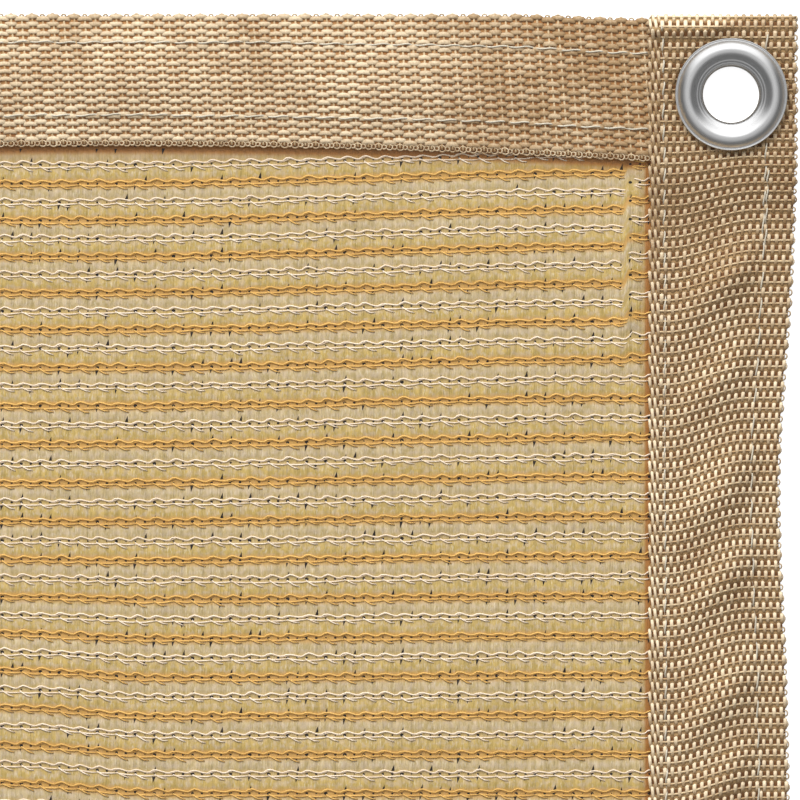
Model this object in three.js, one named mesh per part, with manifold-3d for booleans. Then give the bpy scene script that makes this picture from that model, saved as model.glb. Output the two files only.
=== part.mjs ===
// Shade cloth: a knitted panel edged with woven tape on all four sides, an eyelet in each corner.
// It lies face up: +X to the right, +Y up the cloth, +Z out of its face. Millimetres.
// The origin is at the middle of the surface that it lies on.
import * as THREE from "three";
import * as BufferGeometryUtils from "three/addons/utils/BufferGeometryUtils.js";
import Module from "manifold-3d";

const wasm = await Module();
wasm.setup();

// Driving dimensions
const HALF = 150; // half of the finished width and height
const LAYER_GAP = 0.3; // between pieces that touch on the real cloth
const KNIT_THICKNESS = 1.0;
const KNIT_HALF = 144.5; // the knit stops under the tapes, just past their outer stitching
const TAPE_THICKNESS = 1.0;
const TOP_TAPE_WIDTH = 29.8; // at mid length, wider towards its ends
const TOP_TAPE_SPREAD = 3.4; // how far its inner edge moves in on the way to the side tape
const TOP_TAPE_TUCK = 4; // length of its end that lies under the side tape
const TOP_TAPE_SETBACK = { middle: 0.9, end: 1.8, from: 85 }; // of its outer edge
const SIDE_TAPE_WIDTH = 32.5;
const SIDE_TAPE_END = 149.4; // its turned end, measured up the cloth
const TURNED_FLAP = 4.5; // length of tape turned to the back past the fold
const EYELET_CENTRE = { x: 135.6, y: 131.5 };
const EYELET_HOLE_IN_TAPE = 7.5;
const EYELET_SEGMENTS = 28;
const CUTTER_DEPTH = 20; // of the blocks that cut or trim, more than any layer

// Heights of the layers, from the surface up
const TAPE_ON_KNIT = KNIT_THICKNESS + LAYER_GAP + TAPE_THICKNESS / 2;
const TAPE_ON_TAPE = TAPE_ON_KNIT + TAPE_THICKNESS + LAYER_GAP;
const FLAP_MIDDLE = TAPE_THICKNESS / 2;
const FOLD_RADIUS = (TAPE_ON_TAPE - FLAP_MIDDLE) / 2;
const EYELET_SEAT = TAPE_ON_TAPE + TAPE_THICKNESS / 2 + LAYER_GAP;
const WASHER_TOP = TAPE_ON_TAPE - TAPE_THICKNESS / 2 - LAYER_GAP;

const SIDE_TAPE_INNER = HALF - SIDE_TAPE_WIDTH;
const WASHER_RADIUS = 11.5;
const CORNER_TRIM_CLEARANCE = 2; // from the washer to the trimmed corner of the knit

// How far the outer edge of the side tape is drawn in where the cloth puckers
const DRAWN_IN = [
  { at: 44, depth: 3.75, spread: 40 },
  { at: -15, depth: 1.35, spread: 30 },
  { at: -72, depth: 1.8, spread: 34 },
];
const STRAIGHT_END = { from: 104, to: 122 }; // past this the side tape's edge is straight

// The long hump of the side tape between its two rows of stitches
const HUMP = { height: 1.3, left: 121.5, crest: 134.7, right: 143, fadeFrom: 90, fadeTo: 102 };
// Soft ridges across the hump that rise to the right: where each leaves the left stitches
const PUCKER_SLANT = 0.9;
const PUCKERS = [
  { at: 79.0, height: 0.7, spread: 5.5 },
  { at: 58.5, height: 0.5, spread: 5.0 },
  { at: 34.0, height: 0.7, spread: 6.5 },
  { at: 13.5, height: 0.6, spread: 5.0 },
  { at: -12.5, height: 0.7, spread: 5.5 },
  { at: -30.5, height: 0.5, spread: 5.5 },
  { at: -54.0, height: 0.6, spread: 6.0 },
  { at: -77.0, height: 0.5, spread: 5.5 },
];
const LAP_RISE = { from: 103, to: 116 }; // where the side tape climbs onto the top tape

// The low crown of the top tape between its stitches
const CROWN = { height: 0.8, wave: 0.3, pitch: 58, fadeFrom: 88, fadeTo: 112 };

// One small pleat in the knit, beside the right tape and under the top tape
const PLEAT = { x: 112.5, width: 2.2, height: 0.9, top: 112, bottom: 66, taper: 14 };

const clamp01 = (t) => Math.min(1, Math.max(0, t));
const smoothstep = (from, to, value) => {
  const t = clamp01((value - from) / (to - from));
  return t * t * (3 - 2 * t);
};
const bump = (distance, spread) => Math.exp(-((distance / spread) ** 2));
const linearSteps = (from, to, count) =>
  Array.from({ length: count + 1 }, (_, i) => from + ((to - from) * i) / count);

// A closed sheet: rows of mid-surface points, thickened half to each side along the normals.
// The face lies to the side of (across a row) x (along the rows).
function thickSheet(rows, thickness) {
  const rowCount = rows.length;
  const columnCount = rows[0].length;
  const at = (i, j) => rows[i][j];
  const face = [];
  const back = [];
  for (let i = 0; i < rowCount; i++) {
    for (let j = 0; j < columnCount; j++) {
      const along = at(Math.min(i + 1, rowCount - 1), j).clone().sub(at(Math.max(i - 1, 0), j));
      const across = at(i, Math.min(j + 1, columnCount - 1)).clone().sub(at(i, Math.max(j - 1, 0)));
      const normal = across.cross(along).normalize();
      face.push(at(i, j).clone().addScaledVector(normal, thickness / 2));
      back.push(at(i, j).clone().addScaledVector(normal, -thickness / 2));
    }
  }
  const indices = [];
  const offset = face.length;
  const id = (i, j) => i * columnCount + j;
  for (let i = 0; i < rowCount - 1; i++) {
    for (let j = 0; j < columnCount - 1; j++) {
      const corners = [id(i, j), id(i, j + 1), id(i + 1, j + 1), id(i + 1, j)];
      indices.push(corners[0], corners[1], corners[2], corners[0], corners[2], corners[3]);
      const under = corners.map((k) => k + offset);
      indices.push(under[0], under[2], under[1], under[0], under[3], under[2]);
    }
  }
  const rim = [];
  for (let j = 0; j < columnCount - 1; j++) rim.push(id(0, j));
  for (let i = 0; i < rowCount - 1; i++) rim.push(id(i, columnCount - 1));
  for (let j = columnCount - 1; j > 0; j--) rim.push(id(rowCount - 1, j));
  for (let i = rowCount - 1; i > 0; i--) rim.push(id(i, 0));
  rim.forEach((a, k) => {
    const b = rim[(k + 1) % rim.length];
    indices.push(a, a + offset, b + offset, a, b + offset, b);
  });
  const geometry = new THREE.BufferGeometry();
  const positions = [...face, ...back].flatMap((p) => [p.x, p.y, p.z]);
  geometry.setAttribute("position", new THREE.Float32BufferAttribute(positions, 3));
  geometry.setIndex(indices);
  return geometry;
}

// A three.js geometry as an exact solid, and back again
function toSolid(geometry) {
  const bare = geometry.clone();
  bare.deleteAttribute("normal");
  bare.deleteAttribute("uv");
  const merged = BufferGeometryUtils.mergeVertices(bare, 1e-5);
  const mesh = new wasm.Mesh({
    numProp: 3,
    vertProperties: new Float32Array(merged.attributes.position.array),
    triVerts: new Uint32Array(merged.index.array),
  });
  return new wasm.Manifold(mesh);
}

function toGeometry(solid) {
  const mesh = solid.getMesh();
  const geometry = new THREE.BufferGeometry();
  geometry.setAttribute("position", new THREE.BufferAttribute(mesh.vertProperties, 3));
  geometry.setIndex(new THREE.BufferAttribute(mesh.triVerts, 1));
  geometry.computeVertexNormals();
  return geometry;
}

// The outer edge of the side tape at a height y up the cloth
function sideTapeOuterEdge(y) {
  const drawn = DRAWN_IN.reduce((sum, pull) => sum + pull.depth * bump(y - pull.at, pull.spread), 0);
  return HALF - drawn * (1 - smoothstep(STRAIGHT_END.from, STRAIGHT_END.to, Math.abs(y)));
}

// The side tape's middle height at (x, y): on the knit, climbing over the top tape at each end,
// with a hump between the stitches that rises gently and falls steeply, and slanted ridges on it
function sideTapeHeight(x, y) {
  const lap = smoothstep(LAP_RISE.from, LAP_RISE.to, Math.abs(y));
  const rising = smoothstep(HUMP.left, HUMP.crest, x);
  const falling = 1 - smoothstep(HUMP.crest, HUMP.right, x);
  const fade = 1 - smoothstep(HUMP.fadeFrom, HUMP.fadeTo, Math.abs(y));
  const hump = rising * falling * fade;
  const across = y - PUCKER_SLANT * (x - HUMP.left);
  const puckers = PUCKERS.reduce((sum, p) => sum + p.height * bump(across - p.at, p.spread), 0);
  const raised = HUMP.height * hump + puckers * Math.sqrt(hump);
  return TAPE_ON_KNIT + (TAPE_ON_TAPE - TAPE_ON_KNIT) * lap + raised;
}

// The side tape runs up the cloth, folds over the edge at both ends and lies on as a short flap
function sideTape() {
  const foldCentre = SIDE_TAPE_END - TAPE_THICKNESS / 2 - FOLD_RADIUS;
  const foldSteps = 6;
  const runSteps = 72;
  const stations = [];
  const addFold = (sign, order) => {
    for (const k of order) {
      const angle = (Math.PI * k) / foldSteps; // 0 at the face, half a turn at the flap
      stations.push({
        y: sign * (foldCentre + FOLD_RADIUS * Math.sin(angle)),
        drop: FOLD_RADIUS * (1 - Math.cos(angle)),
      });
    }
  };
  const order = linearSteps(1, foldSteps, foldSteps - 1);
  stations.push({ y: -(foldCentre - TURNED_FLAP), drop: 2 * FOLD_RADIUS });
  addFold(-1, [...order].reverse());
  for (const y of linearSteps(-foldCentre, foldCentre, runSteps)) stations.push({ y, drop: 0 });
  addFold(1, order);
  stations.push({ y: foldCentre - TURNED_FLAP, drop: 2 * FOLD_RADIUS });

  const rows = stations.map(({ y, drop }) =>
    linearSteps(SIDE_TAPE_INNER, sideTapeOuterEdge(y), 7).map((x) => {
      const onFace = THREE.MathUtils.clamp(y, -foldCentre, foldCentre);
      return new THREE.Vector3(x, y, sideTapeHeight(x, onFace) - drop);
    }),
  );
  let solid = toSolid(thickSheet(rows, TAPE_THICKNESS));
  for (const sign of [1, -1]) {
    const hole = new THREE.CylinderGeometry(
      EYELET_HOLE_IN_TAPE, EYELET_HOLE_IN_TAPE, CUTTER_DEPTH, EYELET_SEGMENTS);
    hole.rotateX(Math.PI / 2);
    hole.translate(EYELET_CENTRE.x, sign * EYELET_CENTRE.y, 0);
    solid = solid.subtract(toSolid(hole));
  }
  return toGeometry(solid);
}

// The top tape: straight outer edge, inner edge spreading towards the ends, low crown
function topTape() {
  const end = SIDE_TAPE_INNER + TOP_TAPE_TUCK;
  const outer = (x) => {
    const t = smoothstep(TOP_TAPE_SETBACK.from, SIDE_TAPE_INNER, Math.abs(x));
    return HALF - THREE.MathUtils.lerp(TOP_TAPE_SETBACK.middle, TOP_TAPE_SETBACK.end, t);
  };
  const inner = (x) => HALF - TOP_TAPE_WIDTH - TOP_TAPE_SPREAD * (x / SIDE_TAPE_INNER) ** 2;
  const rows = linearSteps(0, 1, 5).map((t) =>
    linearSteps(-end, end, 34).map((x) => {
      const fade = 1 - smoothstep(CROWN.fadeFrom, CROWN.fadeTo, Math.abs(x));
      const wave = CROWN.wave * Math.cos((2 * Math.PI * x) / CROWN.pitch);
      const crown = (CROWN.height + wave) * Math.sin(Math.PI * t) ** 2 * fade;
      return new THREE.Vector3(x, THREE.MathUtils.lerp(inner(x), outer(x), t), TAPE_ON_KNIT + crown);
    }),
  );
  return toGeometry(toSolid(thickSheet(rows, TAPE_THICKNESS)));
}

// The knitted panel: a flat sheet with its corners trimmed straight across, clear of the eyelets
function shadePanel() {
  const foot = 2.5 * PLEAT.width; // past this the sheet is flat
  const columns = [-KNIT_HALF, ...linearSteps(PLEAT.x - foot, PLEAT.x + foot, 8), KNIT_HALF];
  const stations = [-KNIT_HALF, ...linearSteps(PLEAT.bottom, PLEAT.top, 10), KNIT_HALF];
  const rows = stations.map((y) =>
    columns.map((x) => {
      const along = smoothstep(PLEAT.bottom, PLEAT.bottom + PLEAT.taper, y) *
        (1 - smoothstep(PLEAT.top - PLEAT.taper, PLEAT.top, y));
      const pleat = PLEAT.height * bump(x - PLEAT.x, PLEAT.width) * along;
      return new THREE.Vector3(x, y, KNIT_THICKNESS / 2 + pleat);
    }),
  );
  const reach = WASHER_RADIUS + CORNER_TRIM_CLEARANCE;
  const diagonal = EYELET_CENTRE.x + EYELET_CENTRE.y - reach * Math.SQRT2;
  const cut = diagonal - KNIT_HALF;
  const outline = new THREE.Shape([
    new THREE.Vector2(cut, -KNIT_HALF), new THREE.Vector2(KNIT_HALF, -cut),
    new THREE.Vector2(KNIT_HALF, cut), new THREE.Vector2(cut, KNIT_HALF),
    new THREE.Vector2(-cut, KNIT_HALF), new THREE.Vector2(-KNIT_HALF, cut),
    new THREE.Vector2(-KNIT_HALF, -cut), new THREE.Vector2(-cut, -KNIT_HALF),
  ]);
  const block = new THREE.ExtrudeGeometry(outline, { depth: CUTTER_DEPTH, bevelEnabled: false });
  block.translate(0, 0, -CUTTER_DEPTH / 2);
  return toGeometry(toSolid(thickSheet(rows, KNIT_THICKNESS)).intersect(toSolid(block)));
}

// The eyelet's front piece, radius and height from the surface: the flange rises from its rim to a
// crown, falls into the barrel, and the barrel's end is rolled outwards under the washer
function eyeletFront() {
  const seat = EYELET_SEAT;
  const faceSide = [
    [12.4, seat], [12.4, seat + 0.3], [11.8, seat + 1.2], [10.7, seat + 2.0], [9.6, seat + 2.2],
    [8.5, seat + 1.8], [7.4, seat + 0.7], [6.6, seat - 0.6], [6.2, seat - 2.0], [6.2, 0.8],
    [6.5, 0.25], [6.9, 0], [7.8, 0], [8.4, 0.35], [8.6, 0.8], [8.5, 1.2],
  ];
  const hiddenSide = [
    [8.0, 1.0], [7.2, 0.6], [6.8, 1.0], [6.8, seat - 1.6], [7.1, seat - 0.4], [8.0, seat + 0.8],
    [9.6, seat + 1.6], [10.8, seat + 1.3], [11.8, seat],
  ];
  return turned([...faceSide, ...hiddenSide]);
}

function eyeletWasher() {
  const thickness = 0.8;
  const bevel = 0.25;
  const bottom = WASHER_TOP - thickness;
  return turned([
    [WASHER_RADIUS - bevel, bottom], [WASHER_RADIUS, bottom + bevel],
    [WASHER_RADIUS, WASHER_TOP - bevel], [WASHER_RADIUS - bevel, WASHER_TOP],
    [7.2, WASHER_TOP], [7.2, bottom],
  ]);
}

// A closed profile of [radius, height] points turned about the vertical axis, faces out
function turned(profile) {
  const points = profile.map(([radius, height]) => new THREE.Vector2(radius, height));
  points.push(points[0].clone());
  const geometry = new THREE.LatheGeometry(points, EYELET_SEGMENTS);
  geometry.rotateX(Math.PI / 2);
  const solid = toSolid(geometry);
  return toGeometry(solid);
}

const knitMaterial = () => new THREE.MeshStandardMaterial({ color: 0xc8ac7c, roughness: 0.75 });
const tapeMaterial = () => new THREE.MeshStandardMaterial({ color: 0xc0a582, roughness: 0.7 });
const steelMaterial = () =>
  new THREE.MeshStandardMaterial({ color: 0xb9bbbd, roughness: 0.3, metalness: 1 });

function piece(name, geometry, material) {
  const mesh = new THREE.Mesh(geometry, material);
  mesh.name = name;
  return mesh;
}

const shadeCloth = new THREE.Group();
shadeCloth.add(piece("shade_panel", shadePanel(), knitMaterial()));

// The opposite tape of each pair is the same tape, turned half round on the cloth
for (const [name, geometry, turn] of [
  ["top_tape", topTape(), 0],
  ["bottom_tape", topTape(), Math.PI],
  ["right_tape", sideTape(), 0],
  ["left_tape", sideTape(), Math.PI],
]) {
  const tape = piece(name, geometry, tapeMaterial());
  tape.rotation.z = turn;
  shadeCloth.add(tape);
}

for (const corner of [
  { name: "top_right", x: 1, y: 1 },
  { name: "top_left", x: -1, y: 1 },
  { name: "bottom_left", x: -1, y: -1 },
  { name: "bottom_right", x: 1, y: -1 },
]) {
  const front = piece(`eyelet_${corner.name}`, eyeletFront(), steelMaterial());
  const washer = piece(`washer_${corner.name}`, eyeletWasher(), steelMaterial());
  for (const mesh of [front, washer]) {
    mesh.position.set(corner.x * EYELET_CENTRE.x, corner.y * EYELET_CENTRE.y, 0);
    shadeCloth.add(mesh);
  }
}

export default shadeCloth;
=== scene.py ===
# %% [markdown]
# # A knitted shade cloth with a woven edge and eyelets
# The real cloth is a warp knit: flat film tapes run up the cloth, and chains of fine yarn, gold and
# ivory in turn, bind them every four millimetres. A woven tape is sewn over each edge, and a steel
# eyelet is pressed through each corner. The imported solids give the true sizes. This script dresses
# them with the real yarns, so that the weave is a shape that light falls on and not a picture. Some
# shade and highlights are painted into the colours as well.

import bmesh
import bpy
import numpy as np
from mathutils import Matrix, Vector


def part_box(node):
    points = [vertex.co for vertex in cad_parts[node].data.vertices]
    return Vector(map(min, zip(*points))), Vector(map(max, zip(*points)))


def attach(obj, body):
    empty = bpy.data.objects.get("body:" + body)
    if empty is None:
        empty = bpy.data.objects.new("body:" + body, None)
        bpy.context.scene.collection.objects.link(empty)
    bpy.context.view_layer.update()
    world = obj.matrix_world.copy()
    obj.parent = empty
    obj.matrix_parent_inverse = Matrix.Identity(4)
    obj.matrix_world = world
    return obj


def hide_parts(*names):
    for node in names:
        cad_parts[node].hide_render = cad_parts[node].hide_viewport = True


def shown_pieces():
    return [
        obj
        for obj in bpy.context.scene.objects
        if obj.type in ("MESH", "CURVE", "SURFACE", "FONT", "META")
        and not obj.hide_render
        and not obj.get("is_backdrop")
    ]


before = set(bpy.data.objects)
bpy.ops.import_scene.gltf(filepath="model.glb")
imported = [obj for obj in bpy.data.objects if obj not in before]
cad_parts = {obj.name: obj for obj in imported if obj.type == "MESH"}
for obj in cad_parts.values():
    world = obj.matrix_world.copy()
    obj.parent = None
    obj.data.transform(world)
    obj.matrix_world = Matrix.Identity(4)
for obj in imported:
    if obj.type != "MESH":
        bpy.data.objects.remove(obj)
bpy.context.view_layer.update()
MM = 0.001
print("solids:", sorted(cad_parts))

# %% [markdown]
# ## Sizes from the solids
# All shapes below are worked out in millimetres, and only the mesh maker turns them into metres.
# The tape edges, the eyelet centre and the layer heights come from the solids' boxes.

# %% Read the driving sizes


def box_mm(node):
    """The lowest and highest corner of a solid, in millimetres."""
    low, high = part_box(node)
    return np.array(low) / MM, np.array(high) / MM


knit_high = box_mm("shade_panel")[1]
side_low, side_high = box_mm("right_tape")
top_low, top_high = box_mm("top_tape")
eyelet_low, eyelet_high = box_mm("eyelet_top_right")
washer_low, washer_high = box_mm("washer_top_right")
KNIT_HALF = knit_high[0]
HALF = side_high[0]
SIDE_INNER = side_low[0]
SIDE_END = side_high[1]
TOP_END = top_high[0]
TOP_OUTER = top_high[1]
EYELET = (eyelet_low + eyelet_high)[:2] / 2
FLANGE_RADIUS = (eyelet_high[0] - eyelet_low[0]) / 2
WASHER_RADIUS = (washer_high[0] - washer_low[0]) / 2
WASHER_BOTTOM, WASHER_TOP = washer_low[2], washer_high[2]
TAPE_THICKNESS = 1.0
LAYER_GAP = 0.3
# From the cloth's outer edge to the top tape's inner edge at mid length, how far that edge moves in
# on the way to a side tape, and how far the top tape's outer edge is set back there
TOP_WIDTH, TOP_SPREAD, TOP_SETBACK = 29.8, 3.4, 0.9
TAPE_ON_KNIT = top_low[2] + TAPE_THICKNESS / 2
TAPE_ON_TAPE = TAPE_ON_KNIT + TAPE_THICKNESS + LAYER_GAP
print(f"side tape from {SIDE_INNER:.2f} to {HALF:.2f} mm, lowest tape level {TAPE_ON_KNIT:.2f} mm")
print("eyelet at", EYELET.round(2), "mm, flange radius", round(FLANGE_RADIUS, 2))

# %% [markdown]
# ## Small tools for surfaces
# Every yarn, sheet and ring is a grid of points computed at once with numpy. Three helpers turn
# grids into faces: open grids for sheets, tubes for yarns, and spindles for the short floats of a
# weave. A spindle has few faces because a tape shows thousands of them.

# %% Curves and noise
WANDER_VALUES = 512
WANDER_START = 200  # the value that lies at zero, so that places may be negative


def smoothstep(low, high, value):
    """0 below low, 1 above high, and 3t^2 - 2t^3 between, with t the share of the way."""
    t = np.clip((value - low) / (high - low), 0, 1)
    return t * t * (3 - 2 * t)


def bump(distance, spread):
    """A bell: e to the power of minus the square of distance over spread."""
    return np.exp(-((distance / spread) ** 2))


def wander(x, step, seed):
    """Slow random wander from -1 to 1: random values every step, joined by smooth curves."""
    values = np.random.default_rng(seed).uniform(-1, 1, WANDER_VALUES)
    at = x / step + WANDER_START
    whole = np.floor(at).astype(int)
    t = smoothstep(0, 1, at - whole)
    return values[whole % WANDER_VALUES] * (1 - t) + values[(whole + 1) % WANDER_VALUES] * t


print("a smooth step at its quarters:", smoothstep(0, 4, np.arange(5)))

# %% Faces


def grid_faces(rows, columns):
    """Quads of a grid of points that are counted row by row."""
    i, j = np.meshgrid(np.arange(rows - 1), np.arange(columns - 1), indexing="ij")
    first = i * columns + j
    return np.stack([first, first + 1, first + columns + 1, first + columns], -1).reshape(-1, 4)


def tube_faces(tubes, rings, sides):
    """Quads round many tubes at once, each a run of rings of the same number of points."""
    t = np.arange(tubes)[:, None, None]
    i = np.arange(rings - 1)[None, :, None]
    j = np.arange(sides)[None, None, :]

    def at(ring, side):
        return (t * rings + ring) * sides + side % sides

    return np.stack([at(i, j), at(i, j + 1), at(i + 1, j + 1), at(i + 1, j)], -1).reshape(-1, 4)


def cap_faces(tubes, rings, sides):
    """One flat face on each end of each tube, turned outwards."""
    start = np.arange(tubes)[:, None] * rings * sides
    first = start + np.arange(sides)[::-1]
    last = start + (rings - 1) * sides + np.arange(sides)
    return np.vstack([first, last])


def closed_tubes(tubes, rings, sides, shift=0):
    """Faces round many tubes and on their ends, for points that are counted from shift."""
    return [make(tubes, rings, sides) + shift for make in (tube_faces, cap_faces)]


print("faces of a tube of 3 rings and 4 sides:", sum(map(len, closed_tubes(1, 3, 4))))

# %% Mesh maker


def make_mesh(name, points, face_sets, material, tone=None, uv=None):
    """One mesh object at the origin, from points in millimetres and arrays of faces.
    tone is one number for each point, and uv a pair for each point."""
    mesh = bpy.data.meshes.new(name)
    flat = np.concatenate([f.ravel() for f in face_sets]).astype(np.int32)
    widths = np.concatenate([np.full(len(f), f.shape[1]) for f in face_sets])
    mesh.vertices.add(len(points))
    mesh.vertices.foreach_set("co", (np.asarray(points) * MM).astype(np.float32).ravel())
    mesh.loops.add(len(flat))
    mesh.loops.foreach_set("vertex_index", flat)
    mesh.polygons.add(len(widths))
    starts = np.concatenate([[0], np.cumsum(widths)[:-1]]).astype(np.int32)
    mesh.polygons.foreach_set("loop_start", starts)
    mesh.polygons.foreach_set("use_smooth", np.ones(len(widths), bool))
    if tone is not None:
        layer = mesh.attributes.new("tone", "FLOAT", "POINT")
        layer.data.foreach_set("value", np.asarray(tone, np.float32).ravel())
    if uv is not None:
        layer = mesh.uv_layers.new(name="cloth")
        layer.data.foreach_set("uv", np.asarray(uv, np.float32)[flat].ravel())
    mesh.update(calc_edges=True)
    mesh.materials.append(material)
    piece = bpy.data.objects.new(name, mesh)
    bpy.context.scene.collection.objects.link(piece)
    return piece


def triangles(piece):
    """How many triangles a piece has before its modifiers."""
    return sum(len(p.vertices) - 2 for p in piece.data.polygons)


print("triangles in the solids:", sum(triangles(solid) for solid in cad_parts.values()))

# %% Yarn tubes
YARN_SIDES = 3  # enough for yarn half a millimetre thick
NO_LENGTH = 1e-9  # keeps a division by a length of nothing from failing


def tubes(paths, radius, sides):
    """Rings of points round many paths (tube, point, xyz). With t the direction of the path, the
    ring lies in the plane of s = up x t and u = t x s, at radius * (cos a * s + sin a * u)."""
    along = np.gradient(paths, axis=1)
    along /= np.linalg.norm(along, axis=2, keepdims=True)
    side = np.cross(np.array([0.0, 0.0, 1.0]), along)
    side /= np.maximum(np.linalg.norm(side, axis=2, keepdims=True), NO_LENGTH)
    up = np.cross(along, side)
    angle = np.pi / 2 + 2 * np.pi * np.arange(sides) / sides
    ring = np.cos(angle)[:, None] * side[:, :, None, :] + np.sin(angle)[:, None] * up[:, :, None, :]
    width = np.broadcast_to(np.asarray(radius, float), paths.shape[:2])
    return (paths[:, :, None, :] + width[:, :, None, None] * ring).reshape(-1, 3)


print("points of a tube of 2 rings:", tubes(np.array([[[0, 0, 0], [1.0, 0, 0]]]), 0.2, 3).shape)

# %% [markdown]
# ## Materials
# The yarns are plastic: soft gloss, a fine run of filaments, and a little difference in colour from
# yarn to yarn. A shader node group gives that grain once, and each material uses it with its own
# values. The steel is bright, with faint rings left by the press. A formula in a material is a row
# of Math nodes, so a small class lets Python's own signs add those nodes.

# %% Nodes and fields


def add_node(tree, kind, inputs=None, **settings):
    """A new node with its settings, and each input set to a value or linked to a field."""
    made = tree.nodes.new(kind)
    for key, value in settings.items():
        setattr(made, key, value)
    for key, value in (inputs or {}).items():
        if isinstance(value, Field):
            tree.links.new(value.socket, made.inputs[key])
        else:
            made.inputs[key].default_value = value
    return made


def field(tree, kind, output=0, inputs=None, **settings):
    """One output of a new node."""
    return Field(add_node(tree, kind, inputs, **settings).outputs[output])


def calc(operation, *values):
    """One Math node: the result of an operation on up to three numbers or fields."""
    tree = next(value.tree for value in values if isinstance(value, Field))
    return field(tree, "ShaderNodeMath", 0, dict(enumerate(values)), operation=operation)


class Field:
    """A number, vector or colour that changes over a surface. Each sign adds one Math node."""

    def __init__(self, socket):
        self.socket = socket
        self.tree = socket.id_data

    def __add__(self, other):
        return calc("ADD", self, other)

    def __sub__(self, other):
        return calc("SUBTRACT", self, other)

    def __mul__(self, other):
        return calc("MULTIPLY", self, other)

    def __truediv__(self, other):
        return calc("DIVIDE", self, other)

    def __lt__(self, other):
        return calc("LESS_THAN", self, other)

    def __gt__(self, other):
        return calc("GREATER_THAN", self, other)

    def __abs__(self):
        return calc("ABSOLUTE", self)

    def scaled(self, by, plus):
        """This field times by, plus a number or another field, in one node."""
        return calc("MULTIPLY_ADD", self, by, plus)


print("signs that add a Math node: + - * / < > and abs")

# %% Fields that return
HALF_TURN = np.pi


def nearest(value):
    """The whole number nearest to a field."""
    return calc("ROUND", value)


def wave(operation, half_turns):
    """The SINE or COSINE of a field that counts half turns."""
    return calc(operation, half_turns * HALF_TURN)


def split(vector):
    """The three parts of a vector."""
    return [Field(part) for part in add_node(vector.tree, "ShaderNodeSeparateXYZ", {0: vector}).outputs]


def clamped(value):
    """A field held between 0 and 1."""
    return field(value.tree, "ShaderNodeClamp", 0, {"Value": value})


def ramp(value, low, high, at_low=0.0, at_high=1.0, **settings):
    """at_low where the value is low or less, at_high where it is high or more, even between."""
    limits = {"Value": value, "From Min": low, "From Max": high, "To Min": at_low, "To Max": at_high}
    return field(value.tree, "ShaderNodeMapRange", 0, limits, **settings)


def noise(place, scale, detail):
    """Soft noise from 0 to 1."""
    wanted = {"Vector": place, "Scale": scale, "Detail": detail}
    return field(place.tree, "ShaderNodeTexNoise", "Fac", wanted)


def chance_at(*counts):
    """A random number from 0 to 1 for each place that two or three whole numbers name."""
    cell = field(counts[0].tree, "ShaderNodeCombineXYZ", 0, dict(enumerate(counts)))
    return field(cell.tree, "ShaderNodeTexWhiteNoise", 0, {"Vector": cell})


def blend(share, first, second):
    """A mix of two colours by a share from 0 to 1."""
    wanted = {0: share, 6: first, 7: second}
    return field(share.tree, "ShaderNodeMix", 2, wanted, data_type="RGBA")


def srgb(red, green, blue):
    """A colour given as 0 to 255 screen values, as the linear values that shaders use."""
    share = np.array([red, green, blue]) / 255
    linear = np.where(share <= 0.04045, share / 12.92, ((share + 0.055) / 1.055) ** 2.4)
    return (*linear, 1.0)


print("half grey on the screen is", round(srgb(128, 128, 128)[0], 3), "of the light")

# %% Start and finish of a material


def start_material(name, values):
    """A material with values on its shader's own sockets, and its node tree."""
    material = bpy.data.materials.new(name)
    material.use_nodes = True
    shader = material.node_tree.nodes["Principled BSDF"]
    for key, value in values.items():
        shader.inputs[key].default_value = value
    return material, material.node_tree


def shader_input(tree, name):
    """A socket of the tree's shader."""
    return tree.nodes["Principled BSDF"].inputs[name]


def paint(tree, value, name="Base Color"):
    """Wires a field to a socket of the shader."""
    tree.links.new(value.socket, shader_input(tree, name))


def painted(tree):
    """The colour that is wired to the shader so far."""
    return Field(shader_input(tree, "Base Color").links[0].from_socket)


def press_relief(height, strength, depth):
    """Wires a bump from a field to the shader, depth metres deep where the field is 1."""
    wanted = {"Strength": strength, "Distance": depth, "Height": height}
    paint(height.tree, field(height.tree, "ShaderNodeBump", 0, wanted), "Normal")


def cloth_uv(tree):
    """The piece's own UV map."""
    return field(tree, "ShaderNodeUVMap", uv_map="cloth")


print("materials so far:", len(bpy.data.materials))

# %% Shared yarn grain group
# How far each cause moves a yarn from its dark to its light tint, about the middle of the two
FINE_AMOUNT, SLOW_AMOUNT, TONE_AMOUNT = 0.9, 0.7, 0.9
SLOW_SCALE = 55.0
GRAIN_SOCKETS = [
    ("Light", "INPUT", "Color"), ("Dark", "INPUT", "Color"), ("Scale", "INPUT", "Float"),
    ("Tone", "INPUT", "Float"), ("Colour", "OUTPUT", "Color"), ("Height", "OUTPUT", "Float"),
]


def make_grain_group():
    """Group: colour is moved between a dark and a light tint by noise, by the piece's tone and by
    slow patches, and height is the noise of fine filaments."""
    tree = bpy.data.node_groups.new("yarn_grain", "ShaderNodeTree")
    for name, side, kind in GRAIN_SOCKETS:
        tree.interface.new_socket(name, in_out=side, socket_type=f"NodeSocket{kind}")
    sockets = tree.nodes.new("NodeGroupInput").outputs
    given = {socket.name: Field(socket) for socket in sockets if socket.name}
    place = field(tree, "ShaderNodeTexCoord", "Object")
    fine = noise(place, given["Scale"], detail=3.0)
    slow = noise(place, SLOW_SCALE, detail=2.0)
    share = fine.scaled(FINE_AMOUNT, 0.5 - FINE_AMOUNT / 2)
    share = share + slow.scaled(SLOW_AMOUNT, -SLOW_AMOUNT / 2)
    share = share + given["Tone"].scaled(TONE_AMOUNT, -TONE_AMOUNT / 2)
    colour = blend(clamped(share), given["Dark"], given["Light"])
    add_node(tree, "NodeGroupOutput", {"Colour": colour, "Height": fine})
    return tree


GRAIN = make_grain_group()
print("grain group nodes:", len(GRAIN.nodes))

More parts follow.
